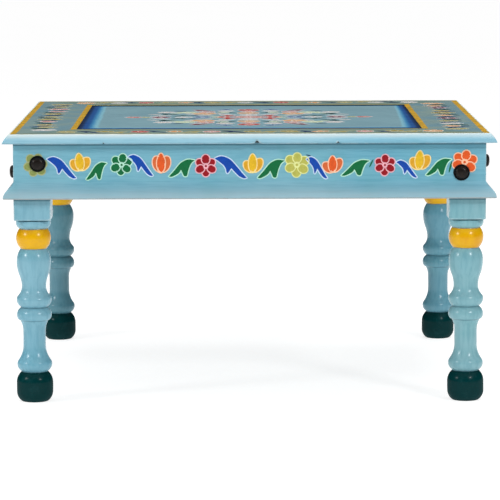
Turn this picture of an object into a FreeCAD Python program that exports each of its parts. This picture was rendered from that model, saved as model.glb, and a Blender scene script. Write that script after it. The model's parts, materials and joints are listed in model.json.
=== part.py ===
import FreeCAD, Part
import math
import os
import re
import Sketcher

# Low square table on four turned legs. The top is a mitred frame round a sunk panel, on a box of
# four boards with a flared moulding round its foot. A square post on each leg stands in a corner of
# the box, where two crossing bolts hold it, so that the legs come off for moving.
# Origin: on the floor under the middle of the table. X is the width, Y the depth, Z is up, and the
# front faces -Y. Lengths are in millimetres.

# Driving dimensions, one group for each kind of piece
sizes = {
    # top frame: four boards with a moulded lip, grooved for the panel
    "table_width": 800,
    "table_depth": 800,
    "top_thickness": 16,
    "border_width": 114.5,
    "lip_reach": 10.5,
    "lip_nose": 3,
    "lip_bulge": 1.3,
    "groove_depth": 8,
    # panel sunk into the frame
    "panel_thickness": 8,
    "panel_drop": 3,
    "panel_play": 1,
    # loose tongues across the mitres, with the wood left beyond each end of them
    "tongue_margin": 31,
    "tongue_width": 24,
    "tongue_thickness": 4,
    # box of four boards
    "box_height": 90,
    "box_thickness": 20,
    "lip_overhang": 16.5,
    "corner_lap": 10,
    # moulding round the foot of the box: a small hollow, a slope and a round, from the top down
    "base_height": 27,
    "base_reach": 16,
    "base_hollow_height": 6,
    "base_hollow_reach": 2.2,
    "base_round_height": 11.4,
    "base_round_reach": 4.7,
    "base_edge": 1.2,
    # turned leg, from the floor up
    "foot_height": 49.5,
    "foot_radius": 29.9,
    "foot_flat_radius": 21.5,
    "neck_radius": 21.2,
    "low_ring_rise": 12,
    "ring_radius": 28.7,
    "shaft_height": 73,
    "shaft_radius": 18.5,
    "shaft_top_radius": 23.6,
    "ring_height": 21,
    "ring_step": 1.8,
    "vase_height": 96.5,
    "vase_radius": 28.1,
    "vase_waist_radius": 20.2,
    "bead_height": 33,
    "bead_radius": 28.5,
    "bead_neck_radius": 22.8,
    "cap_height": 15,
    "cap_radius": 28.6,
    "cap_neck_radius": 24.5,
    "cap_groove": 1.7,
    "block_width": 60,
    "block_height": 36,
    "post_width": 40,
    "post_gap": 2,
    # bolts that hold the legs, with a round rosette under each head: the web is the wood left
    # between two that cross in one post
    "bolt_diameter": 8,
    "bolt_play": 0.5,
    "bolt_web": 7,
    "bolt_end": 3,
    "head_diameter": 20.8,
    "head_height": 5.8,
    "head_crown": 1,
    "head_corner": 2.2,
    "rosette_diameter": 26.6,
    "rosette_thickness": 2.5,
    "rosette_edge": 1.2,
    "rosette_gap": 0.7,
    "washer_diameter": 20,
    "washer_thickness": 1.6,
    "nut_width": 13,
    "nut_height": 6.5,
    # cleats that carry the top, inside the box
    "cleat_width": 22,
    "cleat_height": 22,
    "cleat_end_gap": 30,
    # battens under the panel
    "batten_width": 30,
    "batten_thickness": 20,
    "batten_spacing": 190,
    # wood screws
    "screw_diameter": 4,
    "screw_bite": 10,
    "screw_head_diameter": 8,
    "screw_head_height": 2.2,
    "screw_point": 5,
    "screw_inset": 40,
    "screw_stagger": 25,
    # how far a cut runs past what it cuts
    "overrun": 5,
}

# Sizes that follow from the ones above
worked_out = {
    "box_width": "table_width - 2 * lip_overhang",
    "box_depth": "table_depth - 2 * lip_overhang",
    "opening_width": "table_width - 2 * border_width",
    "opening_depth": "table_depth - 2 * border_width",
    "panel_top": "top_thickness - panel_drop",
    "panel_bottom": "top_thickness - panel_drop - panel_thickness",
    "panel_tongue": "groove_depth - panel_play",
    "tongue_bottom": "(top_thickness - tongue_thickness) / 2",
    "tongue_along": "border_width / 2 - tongue_margin / sqrt(2)",
    "tongue_across": "tongue_width / sqrt(8)",
    "foot_top": "foot_height",
    "low_ring_level": "foot_top + low_ring_rise",
    "shaft_top": "low_ring_level + shaft_height",
    "ring_top": "shaft_top + ring_height",
    "vase_top": "ring_top + vase_height",
    "bead_top": "vase_top + bead_height",
    "turning_top": "bead_top + cap_height",
    "box_bottom": "turning_top + block_height",
    "box_top": "box_bottom + box_height",
    "bolt_inset": "box_thickness + post_width / 2",
    "bolt_low": "base_height + rosette_gap + rosette_diameter / 2",
    "bolt_high": "bolt_low + bolt_diameter + 2 * bolt_play + bolt_web",
    "bolt_hole_radius": "bolt_diameter / 2 + bolt_play",
    "bolt_grip": "rosette_thickness + box_thickness + post_width",
    "bolt_length": "bolt_grip + washer_thickness + nut_height + bolt_end",
    "cleat_inset": "box_thickness + post_width + cleat_end_gap",
    "cleat_inner": "box_thickness + cleat_width",
    "batten_reach": "box_depth / 2 - cleat_inner",
    "batten_screw_reach": "(opening_depth / 2 + batten_reach) / 2",
}

# Where the bellies, waists and turning points of the leg lie, as shares of their own element
foot_belly_low_share = 0.33
foot_belly_high_share = 0.63
shaft_bottom_share = 0.42
shaft_waist_share = 0.75
shaft_turn_share = 0.2
ring_belly_share = 0.38
vase_ring_share = 0.13
vase_waist_share = 0.347
vase_belly_share = 0.782
vase_ring_turn_share = 0.3
vase_turn_share = 0.45
bead_belly_share = 0.52
cap_belly_share = 0.6

# Each side: its turn about Z from the front, the lengths of the table and of the box along it, and
# whether its box board stands in the rebates of the two beside it
sides = {
    "front": {"turn": 0, "table": "table_width", "box": "box_width", "lapped": False},
    "right": {"turn": 90, "table": "table_depth", "box": "box_depth", "lapped": True},
    "back": {"turn": 180, "table": "table_width", "box": "box_width", "lapped": False},
    "left": {"turn": 270, "table": "table_depth", "box": "box_depth", "lapped": True},
}

# Each corner: its turn about Z from the front left one, and its signs along X and Y
corners = {
    "front_left": {"turn": 0, "x": "-", "y": "-"},
    "front_right": {"turn": 90, "x": "", "y": "-"},
    "back_right": {"turn": 180, "x": "", "y": ""},
    "back_left": {"turn": 270, "x": "-", "y": ""},
}

doc = FreeCAD.newDocument("low_table")
sheet = doc.addObject("Spreadsheet::Sheet", "sizes")
for row, (alias, amount) in enumerate(sizes.items(), start=1):
    sheet.set(f"A{row}", alias)
    sheet.set(f"B{row}", str(amount))
    sheet.setAlias(f"B{row}", alias)
doc.recompute()

pieces = []
cuts = []


def bound(formula):
    """A formula in size names, written out as an expression on the sheet's cells."""
    def cell(word):
        name = word.group(0)
        if name in worked_out:
            return "(" + bound(worked_out[name]) + ")"
        return "sizes." + name if name in sizes else name
    return re.sub(r"[a-z_]+", cell, formula)


def number(formula):
    return float(sheet.evalExpression(bound(formula)))


def bind(item, prop, formula):
    item.setExpression(prop, bound(formula))


def keep(item, label):
    """Name a finished sub-part. Its label is the name of its file."""
    item.Label = label
    pieces.append(item)
    return item


def place(item, x, y, z, turn=0, lean=0):
    """Stand a piece at a point: leaned about X first, then turned about Z."""
    about_z = FreeCAD.Rotation(FreeCAD.Vector(0, 0, 1), turn)
    about_x = FreeCAD.Rotation(FreeCAD.Vector(1, 0, 0), lean)
    item.Placement = FreeCAD.Placement(FreeCAD.Vector(), about_z * about_x)
    bind(item, "Placement.Base.x", x)
    bind(item, "Placement.Base.y", y)
    bind(item, "Placement.Base.z", z)


def on_side(name, along, inward, face="box"):
    """World X and Y of a point given along a side and inward from its outer face."""
    half_width = f"{face}_width / 2"
    half_depth = f"{face}_depth / 2"
    return {
        "front": (f"({along})", f"({inward}) - {half_depth}"),
        "right": (f"{half_width} - ({inward})", f"({along})"),
        "back": (f"0 - ({along})", f"{half_depth} - ({inward})"),
        "left": (f"({inward}) - {half_width}", f"0 - ({along})"),
    }[name]


def new_body(name):
    return doc.addObject("PartDesign::Body", name)


def new_sketch(body, role, lift="0"):
    """A sketch on one of the body's own planes, lifted off it along its normal."""
    sketch = body.newObject("Sketcher::SketchObject", body.Name + "_sketch")
    plane = next(item for item in body.Origin.OriginFeatures if item.Role == role)
    sketch.AttachmentSupport = (plane, [""])
    sketch.MapMode = "FlatFace"
    bind(sketch, "AttachmentOffset.Base.z", lift)
    return sketch


def fix_point(sketch, shape, end, x, y):
    """Hold a point of the sketch at two formulas, measured from the sketch's origin."""
    for kind, formula in (("DistanceX", x), ("DistanceY", y)):
        rule = Sketcher.Constraint(kind, -1, 1, shape, end, number(formula))
        index = sketch.addConstraint(rule)
        bind(sketch, f"Constraints[{index}]", formula)


def level_middle(start, end, level):
    """The middle of the arc between two points that is parallel to the sketch's Y at one of them."""
    other = end if level == start else start
    across = other.x - level.x
    radius = (across ** 2 + (other.y - level.y) ** 2) / (2 * across)
    centre = FreeCAD.Vector(level.x + radius, level.y, 0)
    return centre + ((start + end) / 2 - centre).normalize() * abs(radius)


def add_arc(sketch, start, middle, end):
    """An arc through three points. Gives its number and those of its ends at start and at end."""
    centre = Part.Circle(start, middle, end).Center
    forward = (middle - start).cross(end - middle).z > 0
    first, last = (start - centre, end - centre) if forward else (end - centre, start - centre)
    circle = Part.Circle(centre, FreeCAD.Vector(0, 0, 1), first.Length)
    arc = Part.ArcOfCircle(circle, math.atan2(first.y, first.x), math.atan2(last.y, last.x))
    shape = sketch.addGeometry(arc)
    return (shape, 1, 2) if forward else (shape, 2, 1)


def draw_outline(sketch, points):
    """A closed outline. Each point is X, Y and how the outline goes on to the next one: a line when
    nothing more is given, "leaves level" or "arrives level" for an arc that is parallel to the
    sketch's Y at its start or end, or the X and Y of a point that the arc passes through."""
    spots = [FreeCAD.Vector(number(point[0]), number(point[1]), 0) for point in points]
    ends = []
    for index, (_, _, *way) in enumerate(points):
        start, end = spots[index], spots[(index + 1) % len(points)]
        if not way:
            ends.append((sketch.addGeometry(Part.LineSegment(start, end)), 1, 2))
        elif len(way) == 2:
            middle = FreeCAD.Vector(number(way[0]), number(way[1]), 0)
            ends.append(add_arc(sketch, start, middle, end))
            shape = ends[-1][0]
            guide = sketch.addGeometry(Part.Point(middle), True)
            fix_point(sketch, guide, 1, way[0], way[1])
            sketch.addConstraint(Sketcher.Constraint("PointOnObject", guide, 1, shape))
        else:
            leaves = way[0] == "leaves level"
            middle = level_middle(start, end, start if leaves else end)
            shape, first, last = add_arc(sketch, start, middle, end)
            ends.append((shape, first, last))
            level = first if leaves else last
            sketch.addConstraint(Sketcher.Constraint("Horizontal", shape, 3, shape, level))
    for index, point in enumerate(points):
        shape, first, _ = ends[index]
        last_shape, _, last = ends[index - 1]
        sketch.addConstraint(Sketcher.Constraint("Coincident", last_shape, last, shape, first))
        fix_point(sketch, shape, first, point[0], point[1])


def draw_rectangle(sketch, low_x, low_y, high_x, high_y):
    draw_outline(sketch, [(low_x, low_y), (high_x, low_y), (high_x, high_y), (low_x, high_y)])


def draw_circle(sketch, x, y, radius):
    centre = FreeCAD.Vector(number(x), number(y), 0)
    up = FreeCAD.Vector(0, 0, 1)
    circle = sketch.addGeometry(Part.Circle(centre, up, number(radius)))
    fix_point(sketch, circle, 3, x, y)
    index = sketch.addConstraint(Sketcher.Constraint("Radius", circle, number(radius)))
    bind(sketch, f"Constraints[{index}]", radius)


def pad(body, sketch, length, both_ways=False):
    feature = body.newObject("PartDesign::Pad", body.Name + "_pad")
    feature.Profile = sketch
    feature.SideType = "Symmetric" if both_ways else "One side"
    bind(feature, "Length", length)
    return feature


def pocket(body, sketch, depth=None):
    """Cut a sketch through the whole body, or upward from the sketch to a depth."""
    feature = body.newObject("PartDesign::Pocket", body.Name + "_pocket")
    feature.Profile = sketch
    if depth is None:
        feature.Type = "ThroughAll"
        feature.SideType = "Symmetric"
    else:
        feature.Reversed = True
        bind(feature, "Length", depth)
    cuts.append(feature)
    return feature


def revolve(body, sketch):
    feature = body.newObject("PartDesign::Revolution", body.Name + "_revolution")
    feature.Profile = sketch
    feature.ReferenceAxis = (sketch, ["V_Axis"])
    feature.Angle = 360
    return feature


def mitre_ends(body, half, near, far):
    """Cut both ends of a length at 45 degrees, on lines through X = -half and half at Y = 0."""
    sketch = new_sketch(body, "XY_Plane")
    for sign in ("-", ""):
        inner = f"{sign}({half} - ({far}) - overrun)"
        outer = f"{sign}({half} - ({near}) + overrun)"
        low, high = f"{near} - overrun", f"{far} + overrun"
        draw_outline(sketch, [(outer, low), (inner, high), (outer, high)])
    return pocket(body, sketch)


def group(label, solids):
    """One node that holds several separate solids."""
    compound = doc.addObject("Part::Compound", label)
    compound.Links = solids
    return keep(compound, label)


def copy_of(body, name, x, y, z, turn=0, lean=0):
    link = doc.addObject("App::Link", name)
    link.LinkedObject = body
    place(link, x, y, z, turn, lean)
    return link


def drilled(blank, fasteners, label):
    """A wooden piece with the holes that its screws make."""
    cut = doc.addObject("Part::Cut", label)
    cut.Base = blank
    cut.Tool = fasteners
    cuts.append(cut)
    return keep(cut, label)


# Wood screw: head at Z = 0, point upward, long enough to bite past the piece that it holds
def make_screw(name, grip):
    body = new_body(name)
    sketch = new_sketch(body, "XZ_Plane")
    draw_outline(sketch, [
        ("0", "0"),
        ("screw_head_diameter / 2", "0"),
        ("screw_diameter / 2", "screw_head_height"),
        ("screw_diameter / 2", f"{grip} + screw_bite - screw_point"),
        ("0", f"{grip} + screw_bite"),
    ])
    revolve(body, sketch)
    return body


# Screws up through the cleats into the top, and outward through them into the box
def make_cleat_screws():
    top_screw = make_screw("top_screw", "cleat_height")
    box_screw = make_screw("box_screw", "cleat_width")
    upright, level = [], []
    for name, side in sides.items():
        reach = f"{side['box']} / 2 - cleat_inset - screw_inset"
        for sign in ("-", ""):
            x, y = on_side(name, f"{sign}({reach})", "box_thickness + cleat_width / 2")
            label = f"top_screw_{name}"
            height = "box_top - cleat_height"
            upright.append(copy_of(top_screw, label, x, y, height, side["turn"]))
            x, y = on_side(name, f"{sign}({reach} - screw_stagger)", "cleat_inner")
            label = f"cleat_screw_{name}"
            height = "box_top - cleat_height / 2"
            level.append(copy_of(box_screw, label, x, y, height, side["turn"], 90))
    return group("top_screws", upright), group("cleat_screws", level)


def make_batten_screws():
    screw = make_screw("panel_screw", "batten_thickness")
    links = []
    for x in ("-batten_spacing / 2", "batten_spacing / 2"):
        for y in ("-batten_screw_reach", "batten_screw_reach"):
            links.append(copy_of(screw, "batten_screw", x, y, "box_top - batten_thickness"))
    return group("batten_screws", links)


# Top board: its section runs inward from the lip's outer edge, along +Y
def make_top_board(name, side, fasteners):
    label = f"top_{name}_board"
    body = new_body(label + "_blank")
    sketch = new_sketch(body, "YZ_Plane")
    groove = "border_width - groove_depth"
    bulge_in = "lip_reach / 2 - lip_bulge"
    bulge_up = "(top_thickness + lip_nose) / 2 + lip_bulge"
    draw_outline(sketch, [
        ("0", "0"),
        ("0", "lip_nose", bulge_in, bulge_up),
        ("lip_reach", "top_thickness"),
        ("border_width", "top_thickness"),
        ("border_width", "panel_top"),
        (groove, "panel_top"),
        (groove, "panel_bottom"),
        ("border_width", "panel_bottom"),
        ("border_width", "0"),
    ])
    pad(body, sketch, side["table"], both_ways=True)
    mitre_ends(body, f"{side['table']} / 2", "0", "border_width")
    slots = new_sketch(body, "XY_Plane", "tongue_bottom")
    for sign in ("-", ""):
        centre = f"{side['table']} / 2 - border_width / 2"
        draw_outline(slots, [
            (f"{sign}({centre} - tongue_along - tongue_across)",
             "border_width / 2 + tongue_along - tongue_across"),
            (f"{sign}({centre} - tongue_along + tongue_across)",
             "border_width / 2 + tongue_along + tongue_across"),
            (f"{sign}({centre} + tongue_along + tongue_across)",
             "border_width / 2 - tongue_along + tongue_across"),
            (f"{sign}({centre} + tongue_along - tongue_across)",
             "border_width / 2 - tongue_along - tongue_across"),
        ])
    pocket(body, slots, "tongue_thickness")
    x, y = on_side(name, "0", "0", "table")
    place(body, x, y, "box_top", side["turn"])
    return drilled(body, fasteners, label)


# Tongues: flat strips that bridge the mitres of the frame
def make_tongues():
    body = new_body("mitre_tongue")
    sketch = new_sketch(body, "XY_Plane")
    middle = "border_width / 2"
    draw_outline(sketch, [
        (f"{middle} + tongue_along + tongue_across", f"{middle} + tongue_along - tongue_across"),
        (f"{middle} + tongue_along - tongue_across", f"{middle} + tongue_along + tongue_across"),
        (f"{middle} - tongue_along - tongue_across", f"{middle} - tongue_along + tongue_across"),
        (f"{middle} - tongue_along + tongue_across", f"{middle} - tongue_along - tongue_across"),
    ])
    pad(body, sketch, "tongue_thickness")
    links = []
    for name, corner in corners.items():
        x, y = f"{corner['x']}table_width / 2", f"{corner['y']}table_depth / 2"
        height = "box_top + tongue_bottom"
        links.append(copy_of(body, f"tongue_{name}", x, y, height, corner["turn"]))
    return group("mitre_tongues", links)


def make_panel():
    panel = doc.addObject("Part::Box", "top_panel")
    bind(panel, "Length", "opening_width + 2 * panel_tongue")
    bind(panel, "Width", "opening_depth + 2 * panel_tongue")
    bind(panel, "Height", "panel_thickness")
    x, y = "-(opening_width / 2 + panel_tongue)", "-(opening_depth / 2 + panel_tongue)"
    place(panel, x, y, "box_top + panel_bottom")
    return keep(panel, "top_panel")


# Box board: outer face at Y = 0, bottom at Z = 0. The front and back boards have a rebate at each
# end, and the side boards are shorter and stand in the rebates.
def make_box_board(name, side, fasteners):
    label = f"apron_{name}"
    body = new_body(label + "_blank")
    half = f"({side['box']}) / 2"
    sketch = new_sketch(body, "XY_Plane")
    if side["lapped"]:
        draw_rectangle(sketch, f"corner_lap - {half}", "0", f"{half} - corner_lap", "box_thickness")
    else:
        draw_outline(sketch, [
            (f"-{half}", "0"),
            (half, "0"),
            (half, "corner_lap"),
            (f"{half} - box_thickness", "corner_lap"),
            (f"{half} - box_thickness", "box_thickness"),
            (f"box_thickness - {half}", "box_thickness"),
            (f"box_thickness - {half}", "corner_lap"),
            (f"-{half}", "corner_lap"),
        ])
    pad(body, sketch, "box_height")
    holes = new_sketch(body, "XZ_Plane")
    draw_circle(holes, f"bolt_inset - {half}", "bolt_high", "bolt_hole_radius")
    draw_circle(holes, f"{half} - bolt_inset", "bolt_low", "bolt_hole_radius")
    pocket(body, holes)
    x, y = on_side(name, "0", "0")
    place(body, x, y, "box_bottom", side["turn"])
    return drilled(body, fasteners, label)


# Moulding: its back is the box's outer face at Y = 0, and it flares out along -Y
def make_moulding(name, side):
    label = f"moulding_{name}"
    body = new_body(label)
    sketch = new_sketch(body, "YZ_Plane")
    draw_outline(sketch, [
        ("0", "0"),
        ("base_edge - base_reach", "0"),
        ("-base_reach", "base_edge", "leaves level"),
        ("base_round_reach - base_reach", "base_edge + base_round_height"),
        ("-base_hollow_reach", "base_height - base_hollow_height", "arrives level"),
        ("0", "base_height"),
    ])
    pad(body, sketch, f"{side['box']} + 2 * base_reach", both_ways=True)
    mitre_ends(body, f"{side['box']} / 2", "-base_reach", "0")
    x, y = on_side(name, "0", "0")
    place(body, x, y, "box_bottom", side["turn"])
    return keep(body, label)


def between(low, high, share):
    return f"{low} + {share} * (({high}) - ({low}))"


# Leg: turned about its own axis at X = Y = 0, with a square block above the turning and a post,
# cut back by the box's thickness on its two outer faces, that stands inside the corner of the box
def make_leg():
    body = new_body("turned_leg")
    sketch = new_sketch(body, "XZ_Plane")
    shaft_low = between("low_ring_level", "shaft_top", shaft_bottom_share)
    shaft_high = between("low_ring_level", "shaft_top", shaft_waist_share)
    ring_belly = between("shaft_top", "ring_top", ring_belly_share)
    vase_ring = between("ring_top", "vase_top", vase_ring_share)
    vase_waist = between("ring_top", "vase_top", vase_waist_share)
    vase_belly = between("ring_top", "vase_top", vase_belly_share)
    draw_outline(sketch, [
        ("0", "0"),
        ("foot_flat_radius", "0", "arrives level"),
        ("foot_radius", f"{foot_belly_low_share} * foot_height"),
        ("foot_radius", f"{foot_belly_high_share} * foot_height", "leaves level"),
        ("neck_radius", "foot_top", "arrives level"),
        ("ring_radius", "low_ring_level", "leaves level"),
        (between("ring_radius", "shaft_radius", shaft_turn_share),
         between("low_ring_level", shaft_low, shaft_turn_share), "arrives level"),
        ("shaft_radius", shaft_low),
        ("shaft_radius", shaft_high, "leaves level"),
        ("shaft_top_radius", "shaft_top"),
        ("shaft_top_radius + ring_step", "shaft_top", "arrives level"),
        ("ring_radius", ring_belly, "leaves level"),
        ("neck_radius", "ring_top", "arrives level"),
        ("ring_radius", vase_ring, "leaves level"),
        (between("ring_radius", "vase_waist_radius", vase_ring_turn_share),
         between(vase_ring, vase_waist, vase_ring_turn_share), "arrives level"),
        ("vase_waist_radius", vase_waist, "leaves level"),
        (between("vase_waist_radius", "vase_radius", vase_turn_share),
         between(vase_waist, vase_belly, vase_turn_share), "arrives level"),
        ("vase_radius", vase_belly, "leaves level"),
        ("neck_radius", "vase_top", "arrives level"),
        ("bead_radius", between("vase_top", "bead_top", bead_belly_share), "leaves level"),
        ("bead_neck_radius", "bead_top", "arrives level"),
        ("cap_radius", between("bead_top", "turning_top", cap_belly_share)),
        ("cap_radius", "turning_top - cap_groove"),
        ("cap_neck_radius", "turning_top - cap_groove"),
        ("cap_neck_radius", "turning_top"),
        ("0", "turning_top"),
    ])
    revolve(body, sketch)
    block = new_sketch(body, "XY_Plane", "turning_top")
    draw_rectangle(block, "-block_width / 2", "-block_width / 2",
                   "block_width / 2", "block_width / 2")
    pad(body, block, "block_height")
    post = new_sketch(body, "XY_Plane", "box_bottom")
    post_near = "box_thickness - block_width / 2"
    post_far = "box_thickness + post_width - block_width / 2"
    draw_rectangle(post, post_near, post_near, post_far, post_far)
    pad(body, post, "box_height - post_gap")
    for role, level in (("XZ_Plane", "bolt_high"), ("YZ_Plane", "bolt_low")):
        hole = new_sketch(body, role)
        height = f"box_bottom + {level}"
        draw_circle(hole, "bolt_inset - block_width / 2", height, "bolt_hole_radius")
        pocket(body, hole)
    return body


def make_legs():
    leg = make_leg()
    for name, corner in corners.items():
        x = f"{corner['x']}(box_width - block_width) / 2"
        y = f"{corner['y']}(box_depth - block_width) / 2"
        keep(copy_of(leg, f"leg_{name}", x, y, "0", corner["turn"]), f"leg_{name}")


# Bolt: the underside of its head is at Z = 0 and its shank runs up. The head has a low crown.
def make_bolt():
    body = new_body("leg_bolt")
    sketch = new_sketch(body, "XZ_Plane")
    crown_edge = "head_diameter / 2 - head_corner"
    draw_outline(sketch, [
        ("0", "-head_height", f"({crown_edge}) / 2", "head_crown / 4 - head_height"),
        (crown_edge, "head_crown - head_height"),
        ("head_diameter / 2", "head_crown + head_corner - head_height"),
        ("head_diameter / 2", "0"),
        ("bolt_diameter / 2", "0"),
        ("bolt_diameter / 2", "bolt_length"),
        ("0", "bolt_length"),
    ])
    revolve(body, sketch)
    return body


# Rosette: a round plate with a bevelled outer edge, its back at Z = 0
def make_rosette():
    body = new_body("rosette")
    sketch = new_sketch(body, "XZ_Plane")
    draw_outline(sketch, [
        ("bolt_hole_radius", "-rosette_thickness"),
        ("rosette_diameter / 2 - rosette_edge", "-rosette_thickness"),
        ("rosette_diameter / 2", "rosette_edge - rosette_thickness"),
        ("rosette_diameter / 2", "0"),
        ("bolt_hole_radius", "0"),
    ])
    revolve(body, sketch)
    return body


def make_washer():
    body = new_body("washer")
    sketch = new_sketch(body, "XY_Plane")
    draw_circle(sketch, "0", "0", "washer_diameter / 2")
    draw_circle(sketch, "0", "0", "bolt_hole_radius")
    pad(body, sketch, "washer_thickness")
    return body


def make_nut():
    body = new_body("nut")
    sketch = new_sketch(body, "XY_Plane")
    corner = "nut_width / sqrt(3)"
    draw_outline(sketch, [
        (corner, "0"),
        (f"{corner} / 2", "nut_width / 2"),
        (f"-{corner} / 2", "nut_width / 2"),
        (f"-{corner}", "0"),
        (f"-{corner} / 2", "-nut_width / 2"),
        (f"{corner} / 2", "-nut_width / 2"),
    ])
    draw_circle(sketch, "0", "0", "bolt_diameter / 2")
    pad(body, sketch, "nut_height")
    return body


# Two bolts on each side, the left one high and the right one low as seen from outside, so that the
# two that meet in one leg pass each other. Each has a rosette outside, and a washer and nut inside.
def make_bolt_sets():
    stack = {
        "leg_bolts": (make_bolt(), "0 - rosette_thickness"),
        "bolt_rosettes": (make_rosette(), "0"),
        "bolt_washers": (make_washer(), "box_thickness + post_width"),
        "bolt_nuts": (make_nut(), "box_thickness + post_width + washer_thickness"),
    }
    for label, (body, inward) in stack.items():
        links = []
        for name, side in sides.items():
            for sign, level in (("-", "bolt_high"), ("", "bolt_low")):
                x, y = on_side(name, f"{sign}({side['box']} / 2 - bolt_inset)", inward)
                height = f"box_bottom + {level}"
                links.append(copy_of(body, f"{label}_{name}", x, y, height, side["turn"], -90))
        group(label, links)


# Cleat: a strip along the inner face of a box board, level with its top
def make_cleat(name, side, fasteners):
    label = f"cleat_{name}"
    body = new_body(label + "_blank")
    sketch = new_sketch(body, "XY_Plane")
    half = f"{side['box']} / 2 - cleat_inset"
    draw_rectangle(sketch, f"-({half})", "0", half, "cleat_width")
    pad(body, sketch, "cleat_height")
    x, y = on_side(name, "0", "box_thickness")
    place(body, x, y, "box_top - cleat_height", side["turn"])
    return drilled(body, fasteners, label)


# Batten: runs front to back under the panel, raised between the frame's boards to meet it
def make_batten(label, x, fasteners):
    body = new_body(label + "_blank")
    sketch = new_sketch(body, "YZ_Plane")
    rise = "batten_thickness + panel_bottom"
    shoulder = "opening_depth / 2 - panel_play"
    draw_outline(sketch, [
        ("-batten_reach", "0"),
        ("batten_reach", "0"),
        ("batten_reach", "batten_thickness"),
        (shoulder, "batten_thickness"),
        (shoulder, rise),
        (f"-({shoulder})", rise),
        (f"-({shoulder})", "batten_thickness"),
        ("-batten_reach", "batten_thickness"),
    ])
    pad(body, sketch, "batten_width", both_ways=True)
    place(body, x, "0", "box_top - batten_thickness")
    return drilled(body, fasteners, label)


def check_and_write():
    doc.recompute()
    for item in doc.Objects:
        if "Invalid" in item.State or "Error" in item.State:
            raise RuntimeError(f"{item.Label} failed: {item.State}")
    for cut in cuts:
        before = cut.Base.Shape if hasattr(cut, "Base") else cut.BaseFeature.Shape
        if cut.Shape.Volume >= before.Volume:
            raise RuntimeError(f"{cut.Label} cuts nothing")
    for piece in pieces:
        if piece.Shape.isNull() or not piece.Shape.isValid():
            raise RuntimeError(f"{piece.Label} has no valid shape")
    os.makedirs("parts", exist_ok=True)
    for piece in pieces:
        piece.Shape.exportStep(f"parts/{piece.Label}.step")
    box = Part.makeCompound([piece.Shape for piece in pieces]).BoundBox
    print(f"{len(pieces)} nodes, {box.XLength:.1f} x {box.YLength:.1f} x {box.ZLength:.1f} mm")


top_screws, cleat_screws = make_cleat_screws()
batten_screws = make_batten_screws()
screws = doc.addObject("Part::Compound", "all_screws")
screws.Links = [top_screws, cleat_screws, batten_screws]

for side_name, side_sizes in sides.items():
    make_top_board(side_name, side_sizes, screws)
    make_box_board(side_name, side_sizes, cleat_screws)
    make_moulding(side_name, side_sizes)
    make_cleat(side_name, side_sizes, screws)
make_tongues()
make_panel()
make_legs()
make_bolt_sets()
make_batten("batten_left", "-batten_spacing / 2", batten_screws)
make_batten("batten_right", "batten_spacing / 2", batten_screws)
check_and_write()
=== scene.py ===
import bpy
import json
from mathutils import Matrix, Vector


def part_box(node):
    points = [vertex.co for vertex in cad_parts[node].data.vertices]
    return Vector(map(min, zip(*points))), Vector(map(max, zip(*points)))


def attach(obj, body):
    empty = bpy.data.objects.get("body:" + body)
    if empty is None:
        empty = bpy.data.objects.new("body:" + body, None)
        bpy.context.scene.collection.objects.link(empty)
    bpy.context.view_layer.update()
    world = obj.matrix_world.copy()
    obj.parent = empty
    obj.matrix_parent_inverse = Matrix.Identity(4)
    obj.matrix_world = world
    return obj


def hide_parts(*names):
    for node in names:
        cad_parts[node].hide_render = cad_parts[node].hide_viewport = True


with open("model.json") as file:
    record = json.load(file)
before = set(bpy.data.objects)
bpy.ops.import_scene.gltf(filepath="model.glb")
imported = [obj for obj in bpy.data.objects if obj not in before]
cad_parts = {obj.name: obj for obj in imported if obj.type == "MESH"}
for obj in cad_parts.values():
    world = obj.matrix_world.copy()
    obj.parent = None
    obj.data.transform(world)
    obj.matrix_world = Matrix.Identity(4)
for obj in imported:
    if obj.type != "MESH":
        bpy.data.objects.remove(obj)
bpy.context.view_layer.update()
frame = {"nodes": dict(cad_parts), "record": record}

import json
import math

import bpy
import numpy as np
from mathutils import Matrix, Vector

# Low square table with painted flowers. Shapes are worked out in millimetres in the frame's own axes
# (X width, Y depth, Z up, the front faces -Y) and put into meshes in metres.
mm = 0.001


def nodeBox(name):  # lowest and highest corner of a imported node, in millimetres
    return [np.array(corner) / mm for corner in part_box(name)]


boardLow, boardHigh = nodeBox("top_front_board")
panelLow, panelHigh = nodeBox("top_panel")
apronLow, apronHigh = nodeBox("apron_front")
mouldingLow, mouldingHigh = nodeBox("moulding_front")
boardWidth = boardHigh[1] - boardLow[1]
opening = boardHigh[0] - boardWidth  # half the width of the square between the top boards
# How far each side of the table is turned about Z from the front, in degrees
sideTurns = {"front": 0, "right": 90, "back": 180, "left": 270}


# Meshes: a shell is its points, its faces in blocks of like size, wear and pigment at each point

def grid(x, y, z):  # points of a surface from their X, Y and Z, each spread over the same grid
    return np.stack(np.broadcast_arrays(x, y, z), axis=-1)


def gridQuads(rows, columns, wrapRows=False, wrapColumns=False):
    # corner numbers of the faces between neighbouring rows and columns of a grid of points
    row, column = np.arange(rows - 1 + wrapRows)[:, None], np.arange(columns - 1 + wrapColumns)
    nextRow, nextColumn = (row + 1) % rows * columns, (column + 1) % columns
    row = row * columns
    corners = [row + column, row + nextColumn, nextRow + nextColumn, nextRow + column]
    return np.stack(corners, axis=-1).reshape(-1, 4)


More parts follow.
